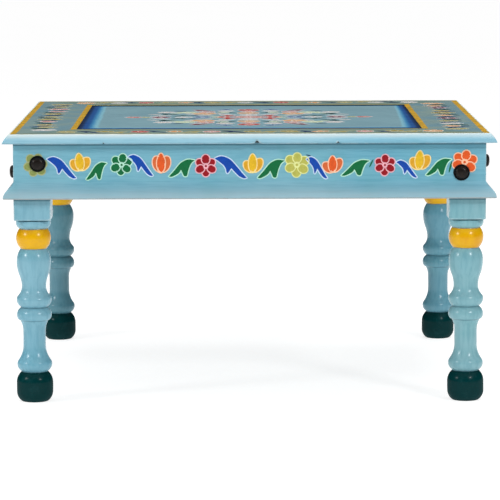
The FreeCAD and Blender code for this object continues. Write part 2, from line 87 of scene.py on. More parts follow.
def ringShell(rings, wear=0, wrap=False, pigment=0):
    # closed skin over a row of closed rings: quads between rings, and one flat face on each end ring
    # unless the row itself closes on its start. The faces are turned to look outward
    rows, columns = rings.shape[:2]
    faces = [gridQuads(rows, columns, wrap, True)]
    if not wrap:
        faces += [np.arange(columns)[None, ::-1], np.arange(columns)[None] + (rows - 1) * columns]
    points = rings.reshape(-1, 3)
    first, second, third, fourth = points[faces[0].T]
    if np.sum((first - points.mean(axis=0)) * np.cross(third - first, fourth - second)) < 0:
        faces = [block[:, ::-1] for block in faces]
    wear = np.broadcast_to(wear, (rows, columns)).ravel()
    return points, faces, wear, np.broadcast_to(pigment, points.shape)


def joined(shells):
    # several shells as one, their corner numbers counted on
    points, faces, wear, pigment = zip(*shells)
    starts = np.cumsum([0, *map(len, points)])
    faces = [block + start for blocks, start in zip(faces, starts) for block in blocks]
    return np.concatenate(points), faces, np.concatenate(wear), np.concatenate(pigment)


def turned(shell, degrees):  # about the Z axis
    points, *rest = shell
    sine, cosine = math.sin(math.radians(degrees)), math.cos(math.radians(degrees))
    return points @ [[cosine, sine, 0], [-sine, cosine, 0], [0, 0, 1]], *rest


sharpAngle = 38  # degrees past which an edge isn't shaded smooth


def makePiece(name, shell, material, nodes=()):
    # one mesh object at the origin, riding on the table's only body
    points, faces, wear, pigment = shell
    corners = np.concatenate([block.ravel() for block in faces])
    sizes = np.concatenate([np.full(len(block), block.shape[1]) for block in faces])
    mesh = bpy.data.meshes.new(name)
    for part, key, count, values in (
        (mesh.vertices, "co", len(points), np.float32(points * mm)),
        (mesh.loops, "vertex_index", len(corners), np.int32(corners)),
        (mesh.polygons, "loop_start", len(sizes), np.int32(np.cumsum(sizes) - sizes)),
    ):
        part.add(count)
        part.foreach_set(key, values.ravel())
    mesh.update(calc_edges=True)
    mesh.validate()
    mesh.attributes.new("wear", "FLOAT", "POINT").data.foreach_set("value", np.float32(wear))
    if pigment.any():
        colours = np.float32(np.column_stack([pigment, np.ones(len(points))]))
        mesh.attributes.new("pigment", "FLOAT_COLOR", "POINT").data.foreach_set("color", colours.ravel())
    mesh.shade_smooth()
    mesh.set_sharp_from_angle(angle=math.radians(sharpAngle))
    mesh.materials.append(material)
    piece = bpy.data.objects.new(name, mesh)
    bpy.context.scene.collection.objects.link(piece)
    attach(piece, "root")
    if nodes:
        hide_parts(*nodes)


# Outlines

def fullTurn(count):
    return np.linspace(0, 2 * math.pi, count, endpoint=False)


def arcThrough(start, middle, end, count):
    # points along the circle through three points; its centre is as far from each of them
    spots = np.array([start, middle, end], float)
    centre = np.linalg.solve(2 * np.diff(spots, axis=0), np.diff((spots ** 2).sum(axis=1)))
    spokes = spots - centre
    angles = np.unwrap(np.arctan2(spokes[:, 1], spokes[:, 0]))
    sweep = np.linspace(angles[0], angles[2], count)
    return centre + np.linalg.norm(spokes[0]) * np.column_stack([np.cos(sweep), np.sin(sweep)])


def arcLevel(start, end, level, count):
    # points along the circle through two points that is upright at one of them, its level one
    start, end, level = np.array([start, end, level], float)
    across, rise = start + end - 2 * level
    radius = (across ** 2 + rise ** 2) / (2 * across)
    centre = level + [radius, 0]
    middle = (start + end) / 2 - centre
    return arcThrough(start, centre + middle / np.linalg.norm(middle) * abs(radius), end, count)


def softOutline(corners, guard=3):
    # closed outline: each corner (x, y, bend) with a bend becomes a small curve that starts and ends
    # one bend away along its two sides, with a guard point beyond it so that wear can fade out.
    # Gives the points and how worn each one is, 1 on a bend and 0 away from it
    corners, share, rows = np.array(corners, float), np.linspace(0, 1, 5)[:, None], []
    for before, corner, after in zip(np.roll(corners, 1, axis=0), corners, np.roll(corners, -1, axis=0)):
        here, bend = corner[:2], corner[2]
        if bend == 0:
            rows.append([*here, 0])
            continue
        sides = np.array([before[:2], after[:2]]) - here
        lengths = np.linalg.norm(sides, axis=1)
        inward, outward = sides / lengths[:, None]
        guards = [
            [[*(here + (bend + guard) * way), 0]] if length > 4 * (bend + guard) else []
            for way, length in zip((inward, outward), lengths)]
        curve = here + bend * ((1 - share) ** 2 * inward + share ** 2 * outward)
        rows += [*guards[0], *np.column_stack([curve, [0.6, 1, 1, 1, 0.6]]), *guards[1]]
    rows = np.array(rows)
    return rows[:, :2], rows[:, 2]


def smoothRun(points, count):
    # Catmull-Rom curve through a few points, at equal steps of its parameter
    points = np.array(points, float)
    ends = np.concatenate([[2 * points[0] - points[1]], points, [2 * points[-1] - points[-2]]])
    along = np.linspace(0, len(points) - 1, count)
    left = np.minimum(along.astype(int), len(points) - 2)
    t = (along - left)[:, None]
    a, b, c, d = (ends[left + shift] for shift in range(4))
    square, cube = 2 * a - 5 * b + 4 * c - d, 3 * b - a - 3 * c + d
    return 0.5 * (2 * b + (c - a) * t + square * t ** 2 + cube * t ** 3)


def evenly(path, count, closed=True):
    # a path walked again in equal steps
    path = np.concatenate([path, path[:1]]) if closed else path
    steps = np.linalg.norm(np.diff(path, axis=0), axis=1)
    moves = steps > 1e-6
    path, walked = path[np.append(True, moves)], np.append(0, np.cumsum(steps[moves]))
    at = np.linspace(0, walked[-1], count, endpoint=not closed)
    return np.column_stack([np.interp(at, walked, line) for line in path.T])


# Boards and mouldings

# Slight waves that planing and paint leave; a seed says which waves a face has
handWork = {
    "waveHeight": 0.12, "waveLength": 190, "waves": 5,
    "seeds": {"board": 3, "lip": 5, "panel": 7, "moulding": 11},
}


def swell(points, face):
    # how far a face lies below flat, up to a quarter of a millimetre: a few crossing sine waves
    wander = np.random.default_rng(handWork["seeds"][face])
    total = np.zeros(len(points))
    for _ in range(handWork["waves"]):
        way = wander.normal(size=3)
        way *= 2 * math.pi / handWork["waveLength"] / np.linalg.norm(way) * wander.uniform(0.7, 2.4)
        total += np.sin(points @ way + wander.uniform(0, 2 * math.pi))
    return handWork["waveHeight"] * (1 + total / handWork["waves"])


def mitredRun(corners, face, stations):
    # profile carried along a side whose outer face stands at Y = -face: each point of its outline is
    # (inward, up) and runs from one mitre plane to the other, so its half length is face - inward
    outline, wear = softOutline(corners)
    inward, up = outline.T
    return ringShell(grid(stations[:, None] * (face - inward), inward - face, up), wear)


topBoard = {
    "lipReach": 10.5,     # how far the moulded lip leans in, from its foot to the arris
    "lipNose": 1.4,       # upright foot of the lip
    "lipBulge": 0.7,      # how round the lip's slope is
    "arris": 1.1,         # softened edges
    "paintRoom": 0.6,     # the flat face lies this much lower, for the raised painting
    "stations": 121, "slopeSteps": 14,
    # chips in the lower edge of the front lip: place along it, width and depth; how tall a chip is as a
    # share of its width, how far in it reaches, and the stations added for it, in widths either way
    "chips": [(12, 5.6, 1.6), (143, 3.2, 1.2), (-236, 2.2, 0.7)],
    "chipTallShare": 1.3, "chipReach": 4, "chipStations": (-2.5, 2.5, 21),
}
topFace = boardHigh[2] - topBoard["paintRoom"]


def topBoardShell(side):
    # lip and flat face from mitre to mitre. A chip is a round dent that fades with the square of distance
    own, face, low = topBoard, boardHigh[0], boardLow[2]
    reach, arris, foot = own["lipReach"], own["arris"], low + own["lipNose"]
    chips = own["chips"] if side == "front" else []
    middle = (reach / 2 - own["lipBulge"], (foot + topFace) / 2 + own["lipBulge"])
    slope = arcThrough((0, foot), middle, (reach, topFace), own["slopeSteps"])[:-1]
    stations = [np.linspace(-1, 1, own["stations"])]
    around, tall, deep = np.linspace(*own["chipStations"]), own["chipTallShare"], own["chipReach"]
    stations += [(place + around * width) / face for place, width, _ in chips]
    points, faces, wear, pigment = mitredRun([
        (0, low, arris / 2), *((*spot, 0) for spot in slope),
        (reach, topFace, arris), (boardWidth, topFace, arris), (boardWidth, low, 0),
    ], face, np.unique(np.concatenate(stations)))
    x, y, z = points.T
    isFlat = np.abs(z - topFace) < 0.3
    z -= np.where(isFlat, swell(points, "board"), 0)
    y += np.where((y + face < reach + 1) & ~isFlat, swell(points, "lip"), 0)
    for place, width, depth in chips:
        offsets = ((x - place) / width, (z - low) / (tall * width), (y + face) / deep)
        near = np.exp(-offsets[0] ** 2 - offsets[1] ** 2 - offsets[2] ** 2)
        y += depth * near
        z += depth * near
        wear = np.maximum(wear, 2 * near)
    return turned((points, faces, wear, pigment), sideTurns[side])


panel = {"edgeGap": 0.5, "stations": 41}


def panelShell():
    # flat board with a slight swell: a square grid, a flat one below it, and a rim between their edges
    half, count = panelHigh[0] - panel["edgeGap"], panel["stations"]
    along = np.linspace(-half, half, count)
    top = grid(along[:, None], along, panelHigh[2]).reshape(-1, 3)
    top[:, 2] -= swell(top, "panel")
    points = np.concatenate([top, top * [1, 1, 0] + [0, 0, panelLow[2]]])
    faces = gridQuads(count, count)
    numbers = np.arange(count * count).reshape(count, count)
    edge = np.concatenate([numbers[0], numbers[1:, -1], numbers[-1, -2::-1], numbers[-2:0:-1, 0]])
    onward = np.roll(edge, -1)
    rim = np.column_stack([onward, onward + len(top), edge + len(top), edge])
    return points, [faces[:, ::-1], faces + len(top), rim], np.zeros(len(points)), 0 * points


apron = {"lap": 10, "arris": 0.9, "jointArris": 0.35, "levels": 19}


def apronShell(side):
    # plan outline of the board carried upward. The front and back boards are rebated at both ends, and
    # the side boards stand in the rebates
    outer, inner, arris, jointArris = apronLow[1], apronHigh[1], apron["arris"], apron["jointArris"]
    lap, end = outer + apron["lap"], nodeBox("apron_right")[1][1]
    corners = [(-end, outer, jointArris), (end, outer, jointArris), (end, inner, 0), (-end, inner, 0)]
    if side in ("front", "back"):
        corners = [
            (outer, outer, arris), (-outer, outer, arris), (-outer, lap, jointArris), (-inner, lap, 0),
            (-inner, inner, 0), (inner, inner, 0), (inner, lap, 0), (outer, lap, jointArris),
        ]
    outline, wear = softOutline(corners)
    heights = np.linspace(apronLow[2], apronHigh[2], apron["levels"])[:, None]
    return turned(ringShell(grid(*outline.T, heights), wear), sideTurns[side])


moulding = {
    "hollowHeight": 6, "hollowReach": 2.2, "roundHeight": 11.4, "roundReach": 4.7,
    "edge": 1.2, "arris": 0.6, "stations": 121, "roundSteps": 9, "hollowSteps": 6,
    "wornHeight": 1.5, "wavyShare": 2 / 3,   # bare nose, and how much of the reach planing left wavy
}


def mouldingShell(side):
    # round, slope and small hollow from the bottom up, carried along the side between its mitres
    face, reach = -mouldingLow[1], mouldingHigh[1] - mouldingLow[1]
    low, high, edge = mouldingLow[2], mouldingHigh[2], moulding["edge"]
    nose, top = (0, low + edge), (reach, high)
    roundTop = (moulding["roundReach"], low + edge + moulding["roundHeight"])
    hollowFoot = (reach - moulding["hollowReach"], high - moulding["hollowHeight"])
    curves = [
        *arcLevel(nose, roundTop, nose, moulding["roundSteps"]),
        *arcLevel(hollowFoot, top, top, moulding["hollowSteps"]),
    ]
    corners = [(reach, low, 0), (edge, low, moulding["arris"]), *((*spot, 0) for spot in curves)]
    shell = mitredRun(corners, face, np.linspace(-1, 1, moulding["stations"]))
    points, _, wear, _ = shell
    y, z = points.T[1:]
    wear[np.abs(z - nose[1]) < moulding["wornHeight"]] = 1
    y += np.where(y < -face + moulding["wavyShare"] * reach, swell(points, "moulding"), 0)
    return turned(shell, sideTurns[side])


# Turned legs

legTurning = {
    # profile from the floor up: radius, height and how it goes on to the next point, a line when nothing
    # more is given, or an arc that is upright where it leaves or arrives
    "profile": [
        (0, 0), (21.5, 0, "arrives"), (29.9, 16.3), (29.9, 31.2, "leaves"), (21.2, 49.5, "arrives"),
        (28.7, 61.5, "leaves"), (26.7, 67.6, "arrives"), (18.5, 92.2), (18.5, 116.3, "leaves"),
        (23.6, 134.5), (25.4, 134.5, "arrives"), (28.7, 142.5, "leaves"), (21.2, 155.5, "arrives"),
        (28.7, 168, "leaves"), (26.2, 174.3, "arrives"), (20.2, 189, "leaves"), (23.8, 207.9, "arrives"),
        (28.1, 231, "leaves"), (21.2, 252, "arrives"), (28.5, 269.2, "leaves"), (22.8, 285, "arrives"),
        (28.6, 294), (28.6, 298.3), (24.5, 298.3), (24.5, 300.2), (0, 300.2),
    ],
    "spacing": 0.9,        # between rings, along the profile
    "softness": 0.8,       # how far paint rounds the creases, along the profile
    "arcSteps": 24, "lineSteps": 12,
    "slimmer": 0.12,       # room inside the profile for the turning's wobble
    "wobble": (0.03, 0.07), "wobbleTurns": (0.02, 0.3),   # height of its waves, and radians a millimetre
    "around": 88, "seed": 20,
    "blockBottom": 300, "blockWidth": 60, "blockArris": 1.3, "blockRows": 6, "blockWear": 0.7,
    "postWidth": 40, "postTop": 424, "postArris": 0.6,
}


def turningProfile():
    # the profile as closely spaced points, its creases and edges rounded by averaging along it
    spots, spacing = legTurning["profile"], legTurning["spacing"]
    run = []
    for spot, following in zip(spots, spots[1:]):
        start, end, way = spot[:2], following[:2], spot[2:]
        if way:
            level = start if way[0] == "leaves" else end
            run.append(arcLevel(start, end, level, legTurning["arcSteps"])[:-1])
        else:
            run.append(np.linspace(start, end, legTurning["lineSteps"], endpoint=False))
    run = np.concatenate(run + [[spots[-1]]])
    length = np.linalg.norm(np.diff(run, axis=0), axis=1).sum()
    even = evenly(run, int(length / spacing), closed=False)
    weight = np.exp(-0.5 * (np.arange(-3, 4) * spacing / legTurning["softness"]) ** 2)
    padded = np.pad(even, ((3, 3), (0, 0)), mode="edge")
    soft = np.column_stack([np.convolve(line, weight / weight.sum(), "valid") for line in padded.T])
    soft[:, 1] = np.clip(soft[:, 1], 0, spots[-1][1])
    return soft[soft[:, 0] > 1]


def squareRings(levels, low, high, arris):
    # rings of a square post with rounded edges, whose plan reaches from low to high both ways: at each
    # (height, inset) the outline is drawn in by the inset
    rings = []
    for height, inset in levels:
        near, far = low + inset, high - inset
        plan = [(near, near), (far, near), (far, far), (near, far)]
        outline, wear = softOutline([(*corner, arris) for corner in plan])
        rings.append(grid(*outline.T, height))
    return np.array(rings), wear


def legShell(turn):
    # turning, block and post of the front left leg, turned about the table's middle to its own corner.
    # The turning wobbles by some tenths of a millimetre: sine waves round it and along it
    own, angles = legTurning, fullTurn(legTurning["around"])
    radius, height = turningProfile().T[..., None]
    wander = np.random.default_rng(own["seed"] + turn)
    wobble = sum(
        wander.uniform(*own["wobble"])
        * np.sin(height * wander.uniform(*own["wobbleTurns"]) + lobes * angles + wander.uniform(0, 6))
        for lobes in (1, 2, 3))
    radius = radius * (1 - (own["slimmer"] + wobble) / np.maximum(radius, 12))
    turning = grid(radius * np.cos(angles), radius * np.sin(angles), height)
    low, high, top, arris = own["blockBottom"], apronLow[2], own["postTop"], own["blockArris"]
    levels = [(low, arris), (low + 0.3 * arris, 0.45 * arris), (low + arris, 0), (low + 3 * arris, 0)]
    levels += [(level, 0) for level in np.linspace(low + 8, high, own["blockRows"])]
    half, postArris = own["blockWidth"] / 2, own["postArris"]
    block, wear = squareRings(levels, -half, half, arris)
    lowerEdge = own["blockWear"] * (np.arange(len(levels)) < 3)[:, None]
    inside = apronHigh[1] - apronLow[1] - half
    ends = [(high, 0), (top - 1, 0), (top, postArris)]
    post, _ = squareRings(ends, inside, inside + own["postWidth"], postArris)
    shell = joined([ringShell(turning), ringShell(block, np.maximum(wear, lowerEdge)), ringShell(post)])
    shell[0][:, :2] += nodeBox("leg_front_left")[0][:2] + half
    return turned(shell, turn)


# Bolts with rosettes

bolt = {
    "headRadius": 10.4, "headHeight": 5.8, "upright": 1, "edge": 0.5, "crownSteps": 14, "crownPower": 0.7,
    "shankRadius": 4, "point": 0.6, "length": 73.6,
    "threadDepth": 0.35, "threadPitch": 1.25, "threadLength": 22,
    "rosetteRadius": 13.3, "rosetteThickness": 2.5, "dish": 0.7, "around": 56,
    "inset": 40,                  # from the end of the box to the bolt's axis
    "heights": {-1: 57, 1: 41},   # above the foot of the box: high on the left, low on the right
}


def boltProfile():
    # from the tip of the shank out to the crown: ridges, plain shank, flat seat, rounded side, low crown
    seat, shank, head = bolt["rosetteThickness"], bolt["shankRadius"], bolt["headRadius"]
    tip, point, edge = seat - bolt["length"], bolt["point"], bolt["edge"]
    ridge = np.arange(0, bolt["threadLength"], bolt["threadPitch"] / 4)
    cut = np.where(np.arange(len(ridge)) % 4 < 2, 0, bolt["threadDepth"])
    sweep = np.linspace(0, math.pi / 2, bolt["crownSteps"])[:-1]
    rise = bolt["upright"] + (bolt["headHeight"] - bolt["upright"]) * np.sin(sweep)
    return [
        (point, tip), (shank - point, tip), *zip(shank - 0.05 - cut, tip + point + ridge),
        (shank, tip + bolt["threadLength"] + 2), (shank, seat), (head - edge, seat), (head, seat + edge),
        *zip(head * np.cos(sweep) ** bolt["crownPower"], seat + rise), (0.4, seat + bolt["headHeight"]),
    ]


def rosetteProfile():
    # round plate: back, rounded rim, and a shallow dish round the head
    radius, thick, hole = bolt["rosetteRadius"], bolt["rosetteThickness"], bolt["shankRadius"] + bolt["edge"]
    dish = thick - bolt["dish"]
    return [
        (hole, 0), (radius - 0.4, 0), (radius, 0.4), (radius, thick - 1.1), (radius - 0.3, thick - 0.5),
        (radius - 0.9, thick - 0.1), (radius - 1.5, thick), (radius - 2.1, thick - 0.15),
        (bolt["headRadius"] + 0.2, dish), (hole, dish),
    ]


def boltShells(profile, wrap=False):
    # profile of (radius, height) turned about each bolt's axis, which lies along Y on the front; height
    # runs outward from the face of the box
    radius, height = np.array(profile).T[..., None]
    angles, out = fullTurn(bolt["around"]), apronHigh[0] - bolt["inset"]
    rings = grid(radius * np.cos(angles), apronLow[1] - height, radius * np.sin(angles))
    places = [(way * out, 0, apronLow[2] + up) for way, up in bolt["heights"].items()]
    return joined([
        turned(ringShell(rings + place, wrap=wrap), turn)
        for turn in sideTurns.values() for place in places])


# Painted flowers and leaves, as thin raised paint: heights in millimetres, and over is how much higher
# a petal lies that covers its neighbours
relief = {
    "fillRise": 0.3, "lineRise": 0.5, "lineWidth": 1.9, "sunk": 0.15, "over": 0.3,
    "onTopShare": 0.2, "lineOnTopShare": 1.1,
    # sections, from the edge in: a dome's share of its path and of its height, and across a line its
    # share of the width and of the height
    "dome": [(1, 0), (0.93, 0.6), (0.75, 0.9), (0.35, 1)], "line": [(-0.12, 0.62), (0.3, 1), (0.72, 0.62)],
    "lineEnds": (-0.2, 0.8), "pillowSteps": 7,
}

# The painter's pots as linear colours: what fills a shape, and the thinner line drawn round it
pots = {
    "blue": ((0.004, 0.062, 0.38), (0.56, 0.7, 0.86)),
    "green": ((0.002, 0.14, 0.042), (0.46, 0.78, 0.62)),
    "crimson": ((0.3, 0.004, 0.012), (0.86, 0.44, 0.5)),
    "orange": ((0.74, 0.1, 0.016), (0.96, 0.56, 0.36)),
    "yellow": ((0.76, 0.46, 0.018), (0.95, 0.74, 0.3)),
    "amber": ((0.72, 0.36, 0.022), (0.95, 0.72, 0.32)),
    "coral": ((0.66, 0.135, 0.04), (0.96, 0.6, 0.42)),
    "olive": ((0.48, 0.47, 0.095), (0.76, 0.79, 0.32)),
    "navy": ((0.004, 0.01, 0.045), (0.07, 0.11, 0.16)),
    "moss": ((0.25, 0.3, 0.09), (0.4, 0.44, 0.22)),
    # quieter ones for the top, which is more rubbed
    "red": ((0.24, 0.01, 0.01), (0.42, 0.26, 0.23)),
    "pink": ((0.31, 0.13, 0.11), (0.42, 0.37, 0.36)),
    "peach": ((0.38, 0.19, 0.085), (0.42, 0.37, 0.3)),
    "maroon": ((0.08, 0.005, 0.013), (0.34, 0.26, 0.28)),
    "pale": ((0.31, 0.3, 0.285), (0.42, 0.41, 0.4)),
    "straw": ((0.22, 0.19, 0.075), (0.31, 0.3, 0.2)),
    "ochre": ((0.2, 0.165, 0.055), (0.31, 0.28, 0.17)),
    "sage": ((0.29, 0.34, 0.215), (0.41, 0.45, 0.37)),
    "leafOnTop": ((0.004, 0.02, 0.018), (0.075, 0.13, 0.125)),
    "cobalt": ((0.008, 0.028, 0.12), (0.3, 0.36, 0.43)),
}


def lifted(flat, height, pigment, wrap=False):  # rings of flat points at their heights, as a shell
    return ringShell(grid(flat[..., 0], flat[..., 1], height), wrap=wrap, pigment=pigment)


def pillow(low, high, rise, pigment):
    # low domed strip between a lower and an upper edge that run side by side: it falls from its full
    # height with the fourth power of the distance from its middle
    across = np.append(np.linspace(0, 1, relief["pillowSteps"]), [1, 0])
    height = rise * (1 - np.abs(2 * across - 1) ** 4)
    height[-2:] = -relief["sunk"]
    return lifted(low[:, None] + (high - low)[:, None] * across[:, None], height, pigment)


def dome(path, rise, pigment):
    # low dome inside a closed path: the path drawn in towards its middle as it rises
    middle = path.mean(axis=0)
    drawIn, lift = np.array([(1, -relief["sunk"] / rise), *relief["dome"]]).T
    return lifted(middle + drawIn[:, None, None] * (path - middle), rise * lift[:, None], pigment)


def outlined(path, width, rise, pigment):
    # half-round line of thick paint carried along a closed path, most of it outside
    forward = np.roll(path, -1, axis=0) - np.roll(path, 1, axis=0)
    forward /= np.maximum(np.linalg.norm(forward, axis=1), 1e-9)[:, None]
    (x, y), (nextX, nextY) = path.T, np.roll(path, -1, axis=0).T
    outward = np.sign(np.sum(x * nextY - y * nextX)) * forward[:, ::-1] * [1, -1]
    first, last = ((end, -relief["sunk"] / rise) for end in relief["lineEnds"])
    share, lift = np.array([first, *relief["line"], last]).T
    return lifted(path[:, None] + width * share[:, None] * outward[:, None], rise * lift, pigment, wrap=True)


def painted(path, pot, line, lift=0, height=1):
    # dome of colour and the line round it, both laid higher by lift where they cover a neighbour
    fill, edge = pots[pot]
    return (
        dome(path, relief["fillRise"] * height + lift, fill),
        outlined(path, relief["lineWidth"] * line, relief["lineRise"] * height + lift, edge),
    )


# Leaves are drawn in shares of their own box, 0 to 1 along and 0 to 1 up: an upper edge, and a lower edge
# in two runs that meet in the notch
leafShares = {
    "rising": {
        "upper": [(0, 0.03), (0.21, 0.38), (0.41, 0.74), (0.56, 0.9), (0.74, 0.99), (1, 0.94)],
        "lower": [
            [(0, 0.03), (0.1, 0), (0.25, 0.09), (0.4, 0.24), (0.46, 0.4)],
            [(0.46, 0.4), (0.51, 0.24), (0.57, 0.05), (0.68, 0.05), (0.73, 0.3), (0.79, 0.58),
                (0.87, 0.79), (1, 0.94)],
        ],
    },
    "falling": {
        "upper": [
            (0, 0.885), (0.12, 0.96), (0.26, 0.98), (0.49, 0.84), (0.7, 0.52), (0.87, 0.23), (1, 0.03),
        ],
        "lower": [
            [(0, 0.885), (0.16, 0.72), (0.28, 0.58), (0.345, 0.43), (0.37, 0.27), (0.42, 0.24),
                (0.52, 0.45)],
            [(0.52, 0.45), (0.62, 0.29), (0.76, 0.1), (0.9, 0.01), (1, 0.03)],
        ],
    },
}
leafSteps = {"upper": 40, "lower": 26, "fill": 64, "line": 110}


def leaf(line, pot, kind, left, right, bottom, top):
    # two-lobed leaf between its two edges, and a line round it
    corner, size = np.array([left, bottom]), np.array([right - left, top - bottom])
    upper = corner + size * smoothRun(leafShares[kind]["upper"], leafSteps["upper"])
    runs = [smoothRun(run, leafSteps["lower"]) for run in leafShares[kind]["lower"]]
    lower = corner + size * np.concatenate(runs)
    along = left + size[0] * (0.5 - 0.5 * np.cos(np.linspace(0.12, math.pi - 0.08, leafSteps["fill"])))
    low, high = (
        np.column_stack([along, np.interp(along, np.maximum.accumulate(edge[:, 0]), edge[:, 1])])
        for edge in (lower, upper))
    around = evenly(np.concatenate([upper, lower[::-1][1:-1]]), leafSteps["line"])
    fill, edge = pots[pot]
    return [(
        pillow(low, high, relief["fillRise"], fill),
        outlined(around, relief["lineWidth"] * line, relief["lineRise"], edge),
    )]


def oval(centre, angle, length, width, count=24, point=0):
    # oval whose long axis lies at an angle, drawn to a point at its far end by the point share
    along, across = np.cos(fullTurn(count)), np.sin(fullTurn(count))
    across = across * (1 - point * np.maximum(along, 0) ** 2)
    forward = np.array([math.cos(angle), math.sin(angle)])
    sideways = np.array([-forward[1], forward[0]])
    return np.array(centre) + length / 2 * along[:, None] * forward + width / 2 * across[:, None] * sideways


touch = {"steps": 14, "pointShare": 0.5, "lineShare": 0.6, "heightShare": 0.8, "thin": 4}


def stroke(line, pot, x, y, length, width, degrees):
    # one touch of the brush, with hardly any line round it and none round a thin one
    path = oval((x, y), math.radians(degrees), length, width, touch["steps"], touch["pointShare"])
    fill, edge = painted(path, pot, touch["lineShare"] * line, height=touch["heightShare"])
    return [(fill, edge if width > touch["thin"] else None)]


# Shares of the flower's radius; width is shared out among the petals, whose turn and size vary
flowerShares = {"ring": 0.59, "length": 0.82, "width": 4.2, "heart": 0.27, "dot": 0.13}
flowerWander = {"turn": (-0.05, 0.05), "size": (0.94, 1.06)}


def flower(line, pot, x, y, radius, petals=6, tilt=0, heart=None):
    # rounded petals, each a dome in its own line; every second one is painted over its neighbours,
    # and a small dot stands in the middle. Sizes and turns vary a little, as a hand makes them
    wander = np.random.default_rng(int(abs(100 * x + 7 * y)) + petals)
    pairs = []
    for index in range(petals):
        angle = tilt + 2 * math.pi * (index + wander.uniform(*flowerWander["turn"])) / petals
        size = radius * wander.uniform(*flowerWander["size"])
        out = flowerShares["ring"] * size
        centre = (x + out * math.cos(angle), y + out * math.sin(angle))
        path = oval(centre, angle, flowerShares["length"] * size, flowerShares["width"] * size / petals)
        pairs.append(painted(path, pot, line, relief["over"] * (index % 2)))
    dot, ground = (
        oval((x, y), 0, 2 * flowerShares[key] * radius, 2 * flowerShares[key] * radius, count)
        for key, count in (("dot", 12), ("heart", 16)))
    base = relief["lineRise"] + 1.2 * relief["over"]
    return pairs + [(
        dome(dot, base + 0.72 * relief["over"], pots[heart or pot][0]), dome(ground, base, pots[pot][1]),
    )]


tulipShares = {
    "base": (0.5, 0.08), "tips": ((0.08, 0.56), (0.92, 0.7)), "broad": 0.48, "sideLength": 1.1,
    "sidePoint": 0.12, "centre": (0.48, 0.5), "middle": 0.42, "point": 0.3,
}
sidePetals = {"yellow": "amber", "orange": "coral"}   # tulips whose side petals have a pot of their own


def tulip(line, pot, left, right, bottom, top, lean=0, tips=tulipShares["tips"], broad=tulipShares["broad"]):
    # two side petals that run from the base to their tips, and a pointed middle petal painted over them
    corner, size = np.array([left, bottom]), np.array([right - left, top - bottom])
    base = corner + size * tulipShares["base"]
    pairs = []
    for tip in tips:
        way = corner + size * tip - base
        length, width = tulipShares["sideLength"] * np.linalg.norm(way), broad * size[0]
        angle = math.atan2(way[1], way[0])
        path = oval(base + way / 2, angle, length, width, point=tulipShares["sidePoint"])
        pairs.append(painted(path, sidePetals.get(pot, pot), line))
    middle, width = corner + size * tulipShares["centre"], tulipShares["middle"] * size[0]
    path = oval(middle, math.pi / 2 + lean, size[1], width, point=tulipShares["point"])
    return pairs + [painted(path, pot, line, relief["over"])]


def drawn(motifs, line=1, swaps=None):
    # a list of motifs as pairs of fill and line on a flat sheet. Swaps give other pots of paint, and may
    # name the kind of motif as well as the pot
    makers = {"flower": flower, "tulip": tulip, "leaf": leaf, "stroke": stroke}
    swaps = swaps or {}
    pairs = []
    for kind, pot, *rest in motifs:
        pairs += makers[kind](line, swaps.get(f"{kind} {pot}", swaps.get(pot, pot)), *rest)
    return pairs


def laid(pairs, origin, axes, turn=0, rise=1, face=None):
    # the fills and the lines as two shells on a face: X, Y and height go along three axes from an origin,
    # with heights flattened by the rise share, and lowered on to the face's own swell where it has one
    layers = []
    for parts in zip(*pairs):
        points, *rest = joined([part for part in parts if part])
        x, y, z = points.T
        points = np.array(origin) + np.column_stack([x, y, np.where(z > 0, rise * z, z)]) @ axes
        if face:
            points[:, 2] -= swell(points * [1, 1, 0] + [0, 0, origin[2]], face)
        layers.append(turned((points, *rest), turn))
    return layers


# The band on the front board, in millimetres along it from its middle and up from the floor. A flower
# has its place, radius, petals, turn and the pot of its dot; a tulip its box, lean, tips and breadth; a
# leaf its kind and box; a stroke its place, length, width and angle
frontBand = [
    ("flower", "moss", -346.5, 390.9, 18.7, 6, 0.2),
    ("leaf", "blue", "falling", -328.8, -280.7, 368.4, 404.8),
    ("tulip", "yellow", -291.1, -258.4, 381.9, 409.6, 0.12),
    ("leaf", "green", "rising", -265.4, -230.9, 366.6, 395.6),
    ("flower", "green", -207.5, 390.9, 17.7, 6, 0.4),
    ("leaf", "blue", "falling", -197.3, -156.2, 372.2, 407.8),
    ("tulip", "orange", -159.1, -126.9, 377.9, 409.6, 0, ((0.2, 0.8), (0.82, 0.8)), 0.56),
    ("leaf", "green", "rising", -131.2, -88.1, 370.9, 400),
    ("flower", "crimson", -70.9, 388.6, 17.9, 6, 0.52),
    ("leaf", "blue", "falling", -57.2, -4.4, 367.9, 405.3),
    ("tulip", "yellow", -10.4, 21.3, 378, 407.9),
    ("leaf", "green", "rising", 12.4, 57.4, 368.3, 399.1),
    ("flower", "olive", 76.4, 390.2, 20.3, 6, 0.45),
    ("leaf", "blue", "falling", 91.7, 126.1, 367.3, 403.4),
    ("stroke", "navy", 95.5, 405.4, 9, 1.8, -14),
    ("tulip", "orange", 119.1, 150.8, 378, 404.4, 0, ((0.02, 0.52), (0.9, 0.78))),
    ("leaf", "green", "rising", 148.2, 195, 371.8, 398.2),
    ("stroke", "green", 197.2, 392.4, 15, 2.6, 64),
    ("flower", "crimson", 219.1, 389.4, 17.1, 6, 0.5),
    ("leaf", "blue", "falling", 237.3, 271.6, 368.3, 397.4),
    ("tulip", "yellow", 259.2, 292.7, 382.2, 412.3, -0.06),
    ("leaf", "green", "rising", 285.2, 327.5, 372, 400.1),
    ("stroke", "green", 325.4, 386.6, 21, 3, 76),
    ("flower", "orange", 348.3, 393.8, 20.3, 6, 0.35),
]
